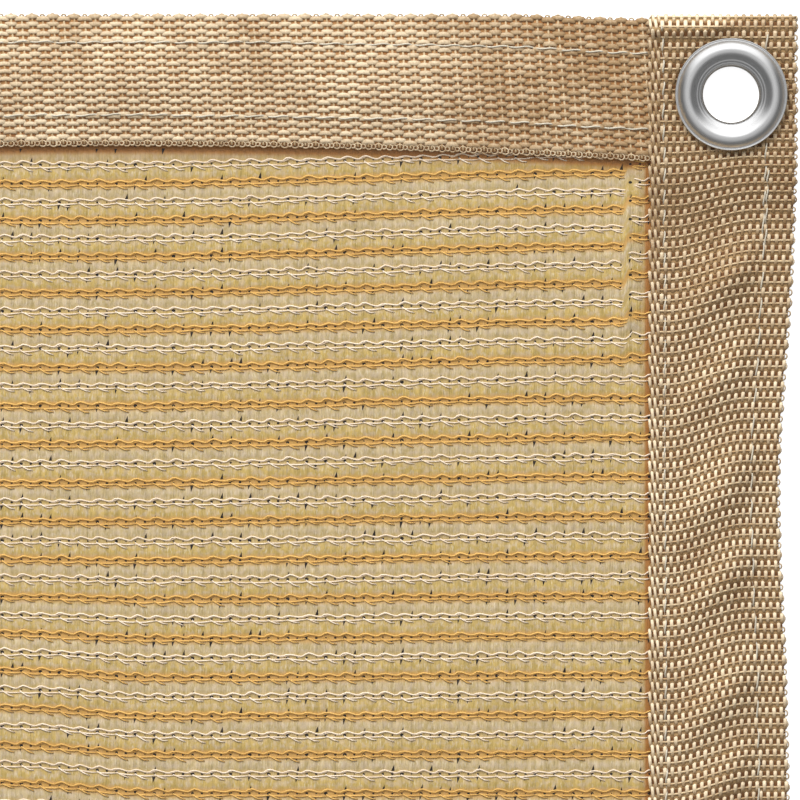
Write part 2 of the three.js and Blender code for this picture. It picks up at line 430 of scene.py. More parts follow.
# %% Yarn materials
FILAMENT_SCALE = 2600.0
FILAMENT_DEPTH = 0.00004


def make_yarn_material(name, light, dark, roughness):
    """A yarn: grain between two tints, filament bump, soft sheen."""
    material, tree = start_material(name, {"Roughness": roughness, "Sheen Weight": 0.1})
    tone = field(tree, "ShaderNodeAttribute", "Fac", attribute_name="tone")
    wanted = {"Light": light, "Dark": dark, "Scale": FILAMENT_SCALE, "Tone": tone}
    grain = add_node(tree, "ShaderNodeGroup", wanted, node_tree=GRAIN)
    paint(tree, Field(grain.outputs["Colour"]))
    press_relief(Field(grain.outputs["Height"]), strength=0.5, depth=FILAMENT_DEPTH)
    return material


IVORY = make_yarn_material("ivory_yarn", srgb(246, 230, 208), srgb(222, 196, 164), 0.5)
GOLD = make_yarn_material("gold_yarn", srgb(228, 184, 104), srgb(190, 144, 70), 0.6)
WARP = make_yarn_material("tape_warp", srgb(238, 219, 186), srgb(162, 131, 92), 0.38)
WEFT = make_yarn_material("tape_weft", srgb(228, 204, 164), srgb(190, 156, 112), 0.5)
THREAD = make_yarn_material("sewing_thread", srgb(224, 216, 198), srgb(176, 166, 146), 0.5)
print("yarn materials:", [m.name for m in (IVORY, GOLD, WARP, WEFT, THREAD)])

# %% Ground and back of the tapes
BAND_FROM, BAND_FULL = 0.4, 0.66  # shares of the way from one pick to the next


def tape_count(tree):
    """The tape's own coordinates: picks along it, and warp ends across it."""
    return split(cloth_uv(tree))[:2]


def make_ground_material(name, light, dark, band):
    """A tape's ground, coloured darker than the yarn as painted shade in the gaps: darkest above each
    pick, with a lighter band under the next one that paints the lit weft.
    """
    material = make_yarn_material(name, light, dark, roughness=0.8)
    tree = material.node_tree
    past = calc("FRACT", tape_count(tree)[0])
    # painted lit weft: the lighter band under each pick
    paint(tree, blend(ramp(past, BAND_FROM, BAND_FULL), painted(tree), band))
    return material


def make_back_material():
    """The back of a tape, drawn as a plain weave: a warp float is high where the cosine of half
    the pick count is, every second end being half a turn on, and round across its width. Where a float
    is low its colour is painted darker, as shade between the floats."""
    light, dark = srgb(228, 204, 166), srgb(196, 162, 120)
    material = make_yarn_material("tape_back", light, dark, roughness=0.6)
    tree = material.node_tree
    picks, ends = tape_count(tree)
    along = calc("MAXIMUM", wave("COSINE", picks + calc("FLOOR", ends)), 0.0)
    across = wave("SINE", calc("FRACT", ends))
    high = calc("SQRT", along * across)
    # painted shade: the low places between the floats are coloured darker
    paint(tree, blend(high, srgb(176, 134, 88), painted(tree)))
    press_relief(high, strength=1.0, depth=0.0003)
    return material


# Both grounds are painted shade for the gaps between the yarns, and the side tape's is the darker copy,
# as its gaps lie deeper in shade
TOP_GROUND = make_ground_material(
    "top_tape_ground", srgb(188, 136, 84), srgb(156, 106, 60), srgb(176, 128, 80))
SIDE_GROUND = make_ground_material(
    "side_tape_ground", srgb(150, 104, 58), srgb(106, 68, 34), srgb(178, 146, 102))
BACK = make_back_material()
print("tape materials:", [m.name for m in (TOP_GROUND, SIDE_GROUND, BACK)])

# %% [markdown]
# ## The film
# Between the chains lies flat film tape, folded a little by the needles. Its colour changes from
# warm straw under an ivory chain to a greyer straw under a gold one, each tape has its own tone,
# fine streaks run along it, and the needles leave pinholes and a few slits on the chains. Shade and
# light are painted on it too: darker edges to each fold, shade under the chains and beside the tapes,
# pale glints, and dark holes for the shade seen through them. Streaks and pinholes are far finer
# than a mesh could hold, so the material draws them on the cloth's own coordinates: U counts
# repeats of two stitches, and V counts pairs of chains.

# %% Film tints
REPEAT = 4.2  # mm, the two stitches after which a chain repeats
CHAIN_PITCH = 25.4 / 6  # six needles to the inch
GOLD_TOP = 112.25  # rest place of the topmost gold chain
TAPE_STRIP = REPEAT / 2
GREY_STRAW, WARM_STRAW = srgb(212, 190, 148), srgb(208, 177, 99)
TINT_SWING = 0.42
# Spots laid over the film in turn, olive, rosy and pale, the pale ones being painted glints: width
# and length in mm, the noise from which they show and at which they are full, and their tint
SPOTS = [
    {"size": (0.9, 1.9), "from": 0.42, "full": 0.62, "tint": srgb(176, 152, 82)},
    {"size": (1.5, 1.3), "from": 0.45, "full": 0.62, "tint": srgb(216, 194, 168)},
    # painted glints: short pale strokes that stand for light caught by the film
    {"size": (0.4, 1.6), "from": 0.56, "full": 0.68, "tint": srgb(236, 222, 190)},
]
SPOT_STRENGTH = 0.5
STREAK_SIZE, STREAK_NOISE = (0.34, 3.2), (0.3, 0.7)
# The film's brightness: where it is darkest, then what each tape's own tone, a streak and the
# middle of a fold add; the fold's share is painted shade that leaves each fold's edges darker
DARKEST, TONE_ADDS, STREAK_ADDS, FOLD_SHADE_ADDS = 0.548, 0.1, 0.19, 0.14


def cloth_noise(uv, size, low, high):
    """Noise on the cloth's own coordinates, with spots of a size across and along in mm, spread so
    that the values from low to high become 0 to 1."""
    scale = (REPEAT / size[0], 2 * CHAIN_PITCH / size[1], 1.0)
    place = field(uv.tree, "ShaderNodeMapping", 0, {0: uv, 3: scale})
    return ramp(noise(place, 1.0, detail=2.0), low, high)


def film_colour(uv, strip, line):
    """Straw film: two base tints by the chain above, spots with painted glints among them, and times a
    grey that is the sum of a tape's own tone, its streaks and the root of |sin| across it, its soft
    fold, a painted shade that darkens the fold's edges."""
    colour = blend(wave("SINE", line).scaled(TINT_SWING, 0.5), GREY_STRAW, WARM_STRAW)
    for spot in SPOTS:
        share = cloth_noise(uv, spot["size"], spot["from"], spot["full"]) * SPOT_STRENGTH
        colour = blend(share, colour, spot["tint"])
    streak = cloth_noise(uv, STREAK_SIZE, *STREAK_NOISE)
    own_tone = chance_at(calc("FLOOR", strip), calc("FLOOR", line))
    # painted shade: each film tape is lighter in the middle of its fold and darker at its edges
    fold = calc("POWER", abs(wave("SINE", strip)), 0.5)
    shade = own_tone.scaled(TONE_ADDS, DARKEST)
    shade = streak.scaled(STREAK_ADDS, shade)
    shade = fold.scaled(FOLD_SHADE_ADDS, shade)
    grey = field(uv.tree, "ShaderNodeCombineColor", 0, {0: shade, 1: shade, 2: shade})
    tinted = field(uv.tree, "ShaderNodeMix", 2, {0: 1.0, 6: colour, 7: grey},
                   data_type="RGBA", blend_type="MULTIPLY")
    return tinted, streak


print("film strips:", TAPE_STRIP, "mm wide, chains", round(CHAIN_PITCH, 2), "mm apart")

# %% Film holes
HOLE_LARGE, HOLE_SMALL = 0.3, 0.22  # radius in mm
HOLE_LEAST, HOLE_VARIES = 0.5, 0.65  # the share of it that a hole has, and what chance adds
HOLE_SQUASH = 0.8
SLIT_SHARE = 0.14  # of the places above and below a stitch
SLIT_WHOLE = 0.55  # a slit's size goes down from one by this at most
SLIT_FOOT, SLIT_LENGTH, SLIT_WIDTH, SLIT_LEAN = 0.66, 1.5, 0.4, 0.18


def film_holes(strip, line, away_x, away_y):
    """Mask of the needle holes: ovals on each chain, every second one large, and wedges that point
    away from the chain above or below a few of them, up to SLIT_LENGTH long."""
    strip_near, line_near = nearest(strip), nearest(line)
    small = calc("PINGPONG", strip_near, 1.0)
    varied = chance_at(strip_near, line_near).scaled(HOLE_VARIES, HOLE_LEAST)
    size = small.scaled(HOLE_SMALL - HOLE_LARGE, HOLE_LARGE) * varied
    squashed = away_x * HOLE_SQUASH
    pin = calc("SQRT", away_y.scaled(away_y, squashed * squashed)) < size
    rare = chance_at(strip_near, line_near, calc("SIGN", away_y))
    torn = rare.scaled(SLIT_WHOLE / SLIT_SHARE, 1 - SLIT_WHOLE / SLIT_SHARE)
    past = abs(away_y) - SLIT_FOOT
    reach = torn - past / SLIT_LENGTH
    leaning = abs(away_y.scaled(-SLIT_LEAN, away_x))
    slit = (leaning < reach * SLIT_WIDTH) * (past > 0.0) * (rare > 1 - SLIT_SHARE)
    return calc("MAXIMUM", pin, slit)


print("needle holes up to", 2 * HOLE_LARGE * (HOLE_LEAST + HOLE_VARIES), "mm across")

# %% Film beside the tapes and under the chains, where shade is painted, and at the back
GATHER_TOP, GATHER_SIDE = 0.0042, 0.0022  # metres
# Tints of painted shade: beside the tapes, where the sewing also gathers the film, at the seam, in the
# holes for the shade seen through them, and under each chain, tinted by its yarn
GATHER_SHADE_TINT, SEAM_SHADE_TINT, HOLE_SHADE_TINT = srgb(156, 118, 62), srgb(158, 102, 44), srgb(30, 20, 12)
UNDER_GOLD_SHADE, UNDER_IVORY_SHADE = srgb(190, 144, 70), srgb(180, 152, 86)
BACK_GOLD, BACK_IVORY = srgb(216, 164, 84), srgb(232, 210, 180)
GATHER_STRENGTH, SEAM_STRENGTH, SEAM_FROM, SEAM_FULL = 0.8, 0.85, 0.5, 0.72
UNDER_FULL, UNDER_NONE = 0.6, 1.5  # mm from a chain
UNDER_STRENGTH, IVORY_LESS = 0.8, 0.35
BACK_BAND, BACK_WAVE = 0.62, 0.25  # mm


def gathered_and_shaded(tree):
    """Mask of the painted shade beside the tapes, where the sewing also gathers the film: 1 at the edge
    of a tape, and 0 about 4 mm under the top tape or 2 mm beside a side tape. The top edge is a
    parabola in x."""
    x, y = (abs(part) for part in split(field(tree, "ShaderNodeTexCoord", "Object"))[:2])
    bow = TOP_SPREAD * MM / (SIDE_INNER * MM) ** 2
    edge = (x * x).scaled(-bow, (HALF - TOP_WIDTH) * MM)
    side = calc("SUBTRACT", SIDE_INNER * MM, x) / GATHER_SIDE
    near = calc("MINIMUM", (edge - y) / GATHER_TOP, side)
    return clamped(calc("SUBTRACT", 1.0, near))


def beside_tapes(colour, near):
    """Painted shade beside the tapes, tinted also for the film that the sewing gathers there, and
    darker once more close to the seam.
    """
    colour = blend(near * GATHER_STRENGTH, colour, GATHER_SHADE_TINT)
    return blend(ramp(near, SEAM_FROM, SEAM_FULL) * SEAM_STRENGTH, colour, SEAM_SHADE_TINT)


def shade_under_chains(colour, ivory, away_y):
    """Painted shade on the film under each chain, tinted by the yarn above it, and less under an ivory
    chain.
    """
    near = ramp(abs(away_y), UNDER_FULL, UNDER_NONE, 1.0, 0.0)
    share = near * ivory.scaled(-IVORY_LESS, UNDER_STRENGTH)
    return blend(share, colour, blend(ivory, UNDER_GOLD_SHADE, UNDER_IVORY_SHADE))


def chains_behind(colour, ivory, u, away_y, back):
    """The chains drawn on the back: a band of yarn whose two edges wave once in a repeat."""
    band = wave("COSINE", u * 2.0).scaled(BACK_WAVE, abs(away_y)) < BACK_BAND
    return blend(band * back, colour, blend(ivory, BACK_GOLD, BACK_IVORY))


print(f"gathered film to {GATHER_TOP / MM:.1f} mm under the top tape")

# %% Film material


def make_film_material():
    """The film's colour, holes and gathers on its UV map, with painted shade under the chains and
    beside the tapes, and the chains' own yarn at the back.
    """
    material, tree = start_material("film_tape", {"Roughness": 0.45})
    uv = cloth_uv(tree)
    u, v = split(uv)[:2]
    strip, line = u * 2.0, v * 2.0
    away_x = (strip - nearest(strip)) * TAPE_STRIP
    away_y = (line - nearest(line)) * CHAIN_PITCH
    ivory = calc("PINGPONG", nearest(line), 1.0)
    back = field(tree, "ShaderNodeNewGeometry", "Backfacing")
    colour, streak = film_colour(uv, strip, line)
    # painted shade under the chains
    colour = shade_under_chains(colour, ivory, away_y)
    # painted shade beside the tapes, on the front only
    colour = beside_tapes(colour, gathered_and_shaded(tree) * calc("SUBTRACT", 1.0, back))
    # the needle holes and slits are painted dark, as the shade seen through them
    colour = blend(film_holes(strip, line, away_x, away_y), colour, HOLE_SHADE_TINT)
    paint(tree, chains_behind(colour, ivory, u, away_y, back))
    press_relief(streak, strength=0.7, depth=0.00016)
    return material


FILM = make_film_material()
print("film material nodes:", len(FILM.node_tree.nodes))

# %% [markdown]
# ## The knitted panel
# On the real cloth the chains are straight rows that the sewing has pulled askew: they rise to the
# right by up to three millimetres, rise once more at the lower left, and jump by two at a small
# pleat beside the tape. The film sheet and every chain use the same shift, so they stay together.
# The sheet is one surface with a soft pillow between chains.

# %% Shift of the knit
SEWN = 118  # the tapes hold the knit about here, so the shift ends
LEFT_LOW, LEFT_RISE, LEFT_SINK = -0.5, 1.85, 0.8
RIGHT_RISE, RIGHT_AT, RIGHT_ABOVE, RIGHT_BELOW = 3.12, 72, 62, 70
CORNER_RISE = 2.2


def knit_shift(x, y):
    """How far a chain at rest place (x, y) is moved up the cloth. At left it rises by a little over
    a millimetre, and by three at right, most about y 72, joined by a smooth curve in x. At the
    lower left there is one more rise. Each smoothstep holds the places where a rise starts and
    ends, in millimetres from the middle of the cloth."""
    at_left = LEFT_RISE * smoothstep(SEWN, 72, y) + LEFT_LOW - LEFT_SINK * smoothstep(60, -10, y)
    at_left = at_left * smoothstep(-SEWN, -50, x) * smoothstep(-SEWN, -30, y)
    past = y - RIGHT_AT
    at_right = RIGHT_RISE * np.where(past > 0, bump(past, RIGHT_ABOVE), bump(past, RIGHT_BELOW))
    lower_left = CORNER_RISE * smoothstep(45, -20, y) * smoothstep(12, -25, x)
    lower_left = lower_left * smoothstep(-SEWN, -60, x) * smoothstep(-SEWN, -50, y)
    return at_left + (at_right - at_left) * smoothstep(-5, SEWN, x) + lower_left


print("chains rise by", knit_shift(np.array([-60.0, 0, 100]), 72.0).round(2), "mm at three places")

# %% Step and pleat
PLEAT = {"x": 112.5, "width": 2.2, "height": 0.9, "top": 112.0, "bottom": 66.0, "taper": 14.0}
STEP_X, STEP_UP = 53.5 * TAPE_STRIP, 2.0
STEP_BEGINS, STEP_ENDS = (62, 90), (124, 114)  # places up the cloth between which it comes and goes
STEP_LATE, STEP_STRAYS = 0.5, 1.6  # where the chains' own steps lie, and how far they stray
TUCK_DEPTH, TUCK_WIDTH = 1.0, 0.6


def step_share(y):
    """How much of the step at the pleat there is at y: none at its two ends, and all between."""
    return smoothstep(*STEP_BEGINS, y) * smoothstep(*STEP_ENDS, y)


def step_at(y):
    """Where along x the chain at rest place y jumps: its own place near the pleat."""
    return STEP_X + STEP_LATE + STEP_STRAYS * wander(y, TAPE_STRIP, 9)


def step_up(x, y, at, soft=0.3):
    """How far the chains past the pleat lie above those before it: a sudden step in x."""
    return STEP_UP * smoothstep(at - soft, at + soft, x) * step_share(y)


def tucked(x, y):
    """How deep a strand is tucked into the pleat, where the chain on its two sides doesn't meet."""
    return TUCK_DEPTH * bump(x - step_at(y), TUCK_WIDTH) * step_share(y)


def pleat_height(x, y):
    """The pleat: a bell across, tapered at both ends."""
    rise = smoothstep(PLEAT["bottom"], PLEAT["bottom"] + PLEAT["taper"], y)
    fall = 1 - smoothstep(PLEAT["top"] - PLEAT["taper"], PLEAT["top"], y)
    return PLEAT["height"] * bump(x - PLEAT["x"], PLEAT["width"]) * rise * fall


print("pleat height at y 60, 80, 100:", pleat_height(PLEAT["x"], np.array([60, 80, 100])).round(2))

# %% Height of the film
FILM_HEIGHT = 0.62  # on a chain
PILLOW = 0.26
PILLOW_DRIFT, SLOW_DRIFT, SLOW_STEP = 0.09, 0.05, 13.0
ROW_APART = 3.1  # moves the wander along from row to row, so that neighbours differ


def film_height(x, y):
    """Height of the film: flat, with a pillow of sin^2 between chains that swells and sinks a
    little from stitch to stitch."""
    line = (y - GOLD_TOP) / CHAIN_PITCH
    pillow = np.sin(np.pi * line) ** 2
    drift = PILLOW_DRIFT * wander(x + ROW_APART * np.floor(line), TAPE_STRIP, 3)
    drift = drift + SLOW_DRIFT * wander(x, SLOW_STEP, 4)
    return FILM_HEIGHT + (PILLOW + drift) * pillow + pleat_height(x, y)


CHAIN_AND_MIDWAY = GOLD_TOP - CHAIN_PITCH * np.array([0, 0.5])
print("film height on a chain and midway:", film_height(0.0, CHAIN_AND_MIDWAY).round(2), "mm")

# %% Film sheet
FINE_X, FINE_Y = SIDE_INNER + 3, 122.5  # the grid is fine to here, just under the tapes
COARSE_X, COARSE_Y = 132, 133  # and has one more line here before its edge
LINES_PER_STRIP, LINES_PER_CHAIN = 1.5, 4
STEP_HALF = 0.5  # half the width of the film's own step
TRIM_CLEAR = 2  # from a washer to the trimmed corner
SAME_PLACE = 1e-7  # metres


def grid_line(fine, middle, coarse):
    """All grid places along one axis: fine ones, with one coarse step to each side and the edge."""
    return np.concatenate([[-KNIT_HALF, -coarse], middle, [fine, coarse, KNIT_HALF]])


def make_film():
    """A grid of rest places, fine where it shows and coarse under the tapes, moved by the shift."""
    fine_x = np.arange(-FINE_X, FINE_X, TAPE_STRIP / LINES_PER_STRIP)
    fine_x = np.sort(np.append(fine_x, [STEP_X - STEP_HALF, STEP_X + STEP_HALF]))
    x = grid_line(FINE_X, fine_x, COARSE_X)
    y = grid_line(FINE_Y, np.arange(-FINE_Y, FINE_Y, CHAIN_PITCH / LINES_PER_CHAIN), COARSE_Y)
    rest_x, rest_y = np.meshgrid(x, y)
    inside = smoothstep(KNIT_HALF, FINE_Y, np.abs(rest_y))
    drawn_y = rest_y - step_up(rest_x, rest_y, STEP_X, STEP_HALF)
    points = np.stack([rest_x, rest_y + knit_shift(rest_x, rest_y) * inside,
                       film_height(rest_x, drawn_y)], -1).reshape(-1, 3)
    uv = np.stack([rest_x / REPEAT, (drawn_y - GOLD_TOP) / (2 * CHAIN_PITCH)], -1).reshape(-1, 2)
    return make_mesh("knit_film", points, [grid_faces(len(y), len(x))], FILM, uv=uv)


def trim_corners(piece):
    """Cuts each corner off along the same diagonal as the solid's, clear of the eyelet's washer."""
    half_reach = (EYELET.sum() - (WASHER_RADIUS + TRIM_CLEAR) * np.sqrt(2)) / 2
    cut = bmesh.new()
    cut.from_mesh(piece.data)
    for sx in (1, -1):
        for sy in (1, -1):
            bmesh.ops.bisect_plane(
                cut, geom=cut.verts[:] + cut.edges[:] + cut.faces[:], dist=SAME_PLACE,
                plane_co=(sx * half_reach * MM, sy * half_reach * MM, 0),
                plane_no=(sx, sy, 0), clear_outer=True)
    cut.to_mesh(piece.data)
    cut.free()


film = make_film()
trim_corners(film)
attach(film, "root")
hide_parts("shade_panel")
print("film triangles:", triangles(film))

# %% [markdown]
# ## The chains
# A chain of knitting is a row of loops, each drawn through the last. Seen from the face, it is an
# upper yarn that waves, a lower yarn that runs nearly straight, and slanting strokes where each loop
# crosses. The strands are made as tubes on one repeat of two stitches, 4.2 mm long, and every
# repeat wanders a little, as on the real cloth. Gold chains are a little thicker than ivory ones.

# %% Chain strands on the cloth
REACH_X = SIDE_INNER + 2.5  # the chains run on under the side tapes
LOWEST_STRAND = 0.34
SWING_VARIES = 0.35
# Two slow strays of a chain: size in mm, step in repeats, and the number added to its seed
STRAYS = ((0.09, 1.7, 50), (0.07, 0.47, 70))


def on_cloth(x, rest_y, off, lift):
    """A point of a strand: off the chain's rest line by off, lifted above the film by lift. In the
    pleat it is tucked below the film, but never down to the floor."""
    y = rest_y + knit_shift(x, rest_y) + step_up(x, rest_y, step_at(rest_y)) + off
    z = film_height(x, rest_y + off) + lift - tucked(x, rest_y)
    return np.stack([x, y, np.maximum(z, LOWEST_STRAND)], -1)


def chain_wander(x, seed):
    """How far the strands of a chain stray at x: share of their swing, and millimetres."""
    drift = sum(size * wander(x, step * REPEAT, seed + more) for size, step, more in STRAYS)
    return 1 + SWING_VARIES * wander(x, REPEAT, seed), drift


print("a chain at x 0 strays by", chain_wander(np.zeros(1), 100)[1].round(3), "mm")

# %% Upper strand
STRAND_STEPS = 6
UPPER_OFF, UPPER_SWING = 0.26, 0.58
UPPER_LIFT, UPPER_RISE = 0.07, 0.05
SINKS_FOR = 0.67  # share of the repeat
CREST_LATE, CREST_STRAYS = 0.04, 0.05


def upper_paths(lines, seed):
    """The long upper strand of each chain: highest just past each large pinhole, sinking slowly for
    two thirds of the repeat, then up again quickly, between 0.26 and 0.84 mm above its rest line."""
    x = np.arange(-REACH_X, REACH_X, REPEAT / STRAND_STEPS)
    strands = []
    for k, rest_y in enumerate(lines):
        vary, drift = chain_wander(x, seed + k)
        share = (x / REPEAT - CREST_LATE + CREST_STRAYS * wander(x, REPEAT, seed + k + 30)) % 1
        sinking, climbing = 1 - smoothstep(0, SINKS_FOR, share), smoothstep(SINKS_FOR, 1, share)
        high = np.where(share < SINKS_FOR, sinking, climbing)
        off = UPPER_OFF + UPPER_SWING * vary * high + drift
        strands.append(on_cloth(x, rest_y, off, UPPER_LIFT + UPPER_RISE * high))
    return np.array(strands)


print("rings of an upper strand:", upper_paths([0.0], 100).shape[1])

# %% Short strands
# Their points from one large pinhole: repeats along, then millimetres up the cloth and above the
# film. Width and tone are shares.
STROKES = [
    {"path": [(-0.03, -0.4, 0.06), (0.22, -0.52, 0.1), (0.48, -0.56, 0.12), (0.76, -0.54, 0.12),
              (1.03, -0.44, 0.08)], "width": 1.0, "tone": 0.7},
    {"path": [(-0.02, -0.12, 0.1), (0.17, -0.62, 0.22), (0.38, -1.04, 0.2), (0.64, -1.26, 0.08)],
     "width": 0.95, "tone": 0.8},
    {"path": [(-0.42, 0.04, 0.04), (-0.2, 0.26, 0.1), (0.0, 0.54, 0.12), (0.15, 0.68, 0.1)],
     "width": 0.85, "tone": 0.4},
]
STROKE_SLIP = 0.07  # repeats


def stroke_paths(stroke, lines, seed):
    """One kind of short strand on every repeat of each chain, along the points of its table row."""
    start = np.arange(np.ceil(-REACH_X / REPEAT), np.floor(REACH_X / REPEAT))
    s, off, lift = np.array(stroke["path"]).T
    paths = []
    for k, rest_y in enumerate(lines):
        slip = STROKE_SLIP * wander(start * REPEAT, REPEAT, seed + 90 + k)[:, None]
        x = (start[:, None] + slip + s) * REPEAT
        vary, drift = chain_wander(x, seed + k)
        paths.append(on_cloth(x, rest_y, off * vary + drift, lift + 0 * x))
    return np.concatenate(paths)


print("short strands on one chain:", sum(len(stroke_paths(s, [0.0], 100)) for s in STROKES))

# %% Chain pieces
UPPER_THICKER, STRAND_TAPER = 1.15, 0.72
UPPER_TONES, STROKE_TONES = (0.5, 0.9), (-0.3, 0.3)


def make_chains(name, lines, material, radius, seed):
    """All strands of some chains as one piece of three-sided tubes, the short ones tapered."""
    own = np.random.default_rng(seed)
    paths = upper_paths(lines, seed)
    count, rings = paths.shape[:2]
    points = [tubes(paths, UPPER_THICKER * radius, YARN_SIDES)]
    faces = closed_tubes(count, rings, YARN_SIDES)
    tone = [np.repeat(own.uniform(*UPPER_TONES, count), rings * YARN_SIDES)]
    shift = len(points[0])
    for stroke in STROKES:
        paths = stroke_paths(stroke, lines, seed)
        count, rings = paths.shape[:2]
        taper = np.ones(rings)
        taper[[0, -1]] = STRAND_TAPER
        points.append(tubes(paths, radius * stroke["width"] * taper, YARN_SIDES))
        faces += closed_tubes(count, rings, YARN_SIDES, shift)
        tone.append(np.repeat(stroke["tone"] + own.uniform(*STROKE_TONES, count), rings * YARN_SIDES))
        shift += len(points[-1])
    piece = make_mesh(name, np.vstack(points), faces, material, tone=np.concatenate(tone))
    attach(piece, "root")
    return piece


print("upper strands are", UPPER_THICKER, "times as thick as the short ones")

# %% Gold and ivory chains
LAST_LINE = 119  # chains past this would lie wholly under a tape
chain_pieces = []
for colour, material, radius, offset, seed in (
    ("gold", GOLD, 0.25, 0.0, 100), ("ivory", IVORY, 0.215, CHAIN_PITCH, 300),
):
    lines = GOLD_TOP + offset - 2 * CHAIN_PITCH * np.arange(-1, 29)
    lines = lines[np.abs(lines) < LAST_LINE]
    upper, lower = lines[: len(lines) // 2], lines[len(lines) // 2:]
    chain_pieces.append(make_chains(f"{colour}_chains_upper", upper, material, radius, seed))
    chain_pieces.append(make_chains(f"{colour}_chains_lower", lower, material, radius, seed + 20))
for piece in chain_pieces:
    print(piece.name, "triangles:", triangles(piece))

# %% [markdown]
# ## The shape of the edge tapes
# All four tapes are the same coarse webbing. The top tape lies on the knit with a low crown between
# its stitches. The side tape climbs over the end of the top tape, puckers along its length into a
# hump that rises gently and falls steeply, and turns under at its end. Each tape is a function from
# its own coordinates, a along it in millimetres and b across it from 0 to 1, to a place on the
# cloth.

# %% Tape sizes
WARP_PITCH, WEFT_PITCH = 0.845, 2.32
SIDE_WIDTH = HALF - SIDE_INNER
FOLD_RADIUS = (TAPE_ON_TAPE - TAPE_THICKNESS / 2) / 2
FOLD_CENTRE = SIDE_END - TAPE_THICKNESS / 2 - FOLD_RADIUS
FLAP = 4.5
SIDE_REACH = FOLD_CENTRE + np.pi * FOLD_RADIUS + FLAP
print(f"side tape {SIDE_WIDTH:.2f} mm wide, {2 * SIDE_REACH:.1f} mm long with its turned ends")

# %% Top tape
TOP_LEAN = 2.4
SETBACK_FROM = 85
CROWN = {"height": 0.8, "wave": 0.3, "pitch": 58, "from": 88, "to": 112}


def top_edges(x):
    """The outer and the inner edge of the top tape at x."""
    share = smoothstep(SETBACK_FROM, SIDE_INNER, np.abs(x))
    outer = TOP_OUTER - TOP_SETBACK * share
    inner = HALF - TOP_WIDTH - TOP_SPREAD * (x / SIDE_INNER) ** 2
    return outer, inner


def top_surface(a, b):
    """Top tape: a runs to the right, b from 0 at the inner edge to 1 at the outer. Crown height is
    (height + wave cos) sin^2, and the cross yarns lean to the right going down."""
    x = a + TOP_LEAN * (0.5 - b)
    outer, inner = top_edges(x)
    fade = 1 - smoothstep(CROWN["from"], CROWN["to"], np.abs(x))
    along = CROWN["height"] + CROWN["wave"] * np.cos(2 * np.pi * x / CROWN["pitch"])
    crown = along * np.sin(np.pi * b) ** 2 * fade
    return np.stack([x, inner + (outer - inner) * b, TAPE_ON_KNIT + crown], -1)


print("top tape width at its middle:", round(float(np.ptp(top_edges(0.0))), 2), "mm")

# %% Outer edge and end crease of the side tape
DRAWN_IN = [
    {"at": 44, "depth": 3.75, "spread": 40},
    {"at": -15, "depth": 1.35, "spread": 30},
    {"at": -72, "depth": 1.8, "spread": 34},
]
STRAIGHT = (104, 122)  # the edge runs straight past this
CREASE_BACK, CREASE_TURNS, CREASE_TURNS_AT = 3.5, 2.3, (129, 141)
CREASE_HEIGHT, CREASE_SIDE, CREASE_FADES = 1.5, 1.7, (128, 141)
LEAST_RUN = 0.2


def side_outer(y):
    """The outer edge of the side tape, drawn in by soft bells."""
    drawn = sum(d["depth"] * bump(y - d["at"], d["spread"]) for d in DRAWN_IN)
    return HALF - drawn * (1 - smoothstep(*STRAIGHT, np.abs(y)))


def crease_line(x):
    """Where the crease by the turned end runs: nearer the end to the right."""
    return SIDE_END - CREASE_BACK + CREASE_TURNS * smoothstep(*CREASE_TURNS_AT, x)


def end_ridge(x, y):
    """Height of the crease: it falls evenly to the fold, and quickly on the other side."""
    line = crease_line(x)
    height = CREASE_HEIGHT * (1 - smoothstep(*CREASE_FADES, x))
    outwards = np.clip((FOLD_CENTRE - y) / np.maximum(FOLD_CENTRE - line, LEAST_RUN), 0, 1)
    return height * outwards * smoothstep(line - CREASE_SIDE, line, y)


print("edge drawn in by", (HALF - side_outer(np.array([44, -15, -72]))).round(2), "mm at three places")

# %% Height of the side tape
LAP = (103, 116)
HUMP = {"height": 1.3, "left": 121.5, "crest": 134.7, "right": 143, "from": 90, "to": 102}
PUCKER_SLANT, PUCKER_DEEPER = 0.9, 2.3
PUCKERS = [
    {"at": 79.0, "height": 0.7, "spread": 5.5},
    {"at": 58.5, "height": 0.5, "spread": 5.0},
    {"at": 34.0, "height": 0.7, "spread": 6.5},
    {"at": 13.5, "height": 0.6, "spread": 5.0},
    {"at": -12.5, "height": 0.7, "spread": 5.5},
    {"at": -30.5, "height": 0.5, "spread": 5.5},
    {"at": -54.0, "height": 0.6, "spread": 6.0},
    {"at": -77.0, "height": 0.5, "spread": 5.5},
]
PRESSED, PRESSED_WIDTH = 0.4, 2  # by the eyelet's flange, and how far past it


def side_height(x, y):
    """Middle height of the side tape: the lap over the top tape, the hump and slanted ridges, each
    a bell across its own line."""
    lap = smoothstep(*LAP, np.abs(y))
    hump = smoothstep(HUMP["left"], HUMP["crest"], x)
    hump = hump * (1 - smoothstep(HUMP["crest"], HUMP["right"], x))
    hump = hump * (1 - smoothstep(HUMP["from"], HUMP["to"], np.abs(y)))
    across = y - PUCKER_SLANT * (x - HUMP["left"])
    puckers = sum(p["height"] * bump(across - p["at"], p["spread"]) for p in PUCKERS)
    raised = HUMP["height"] * hump + PUCKER_DEEPER * puckers * np.sqrt(hump)
    level = TAPE_ON_KNIT + (TAPE_ON_TAPE - TAPE_ON_KNIT) * lap
    away = np.hypot(x - EYELET[0], np.abs(y) - EYELET[1])
    pressed = PRESSED * (1 - smoothstep(FLANGE_RADIUS, FLANGE_RADIUS + PRESSED_WIDTH, away))
    return level + raised + end_ridge(x, np.abs(y)) - pressed


print("side tape height in a pucker:", side_height(134.0, 45.0).round(2), "mm")

# %% Side tape
SKEW, SKEW_ACROSS, SKEW_ENDS = 4.0, (121.5, 141.5), (98, 130)


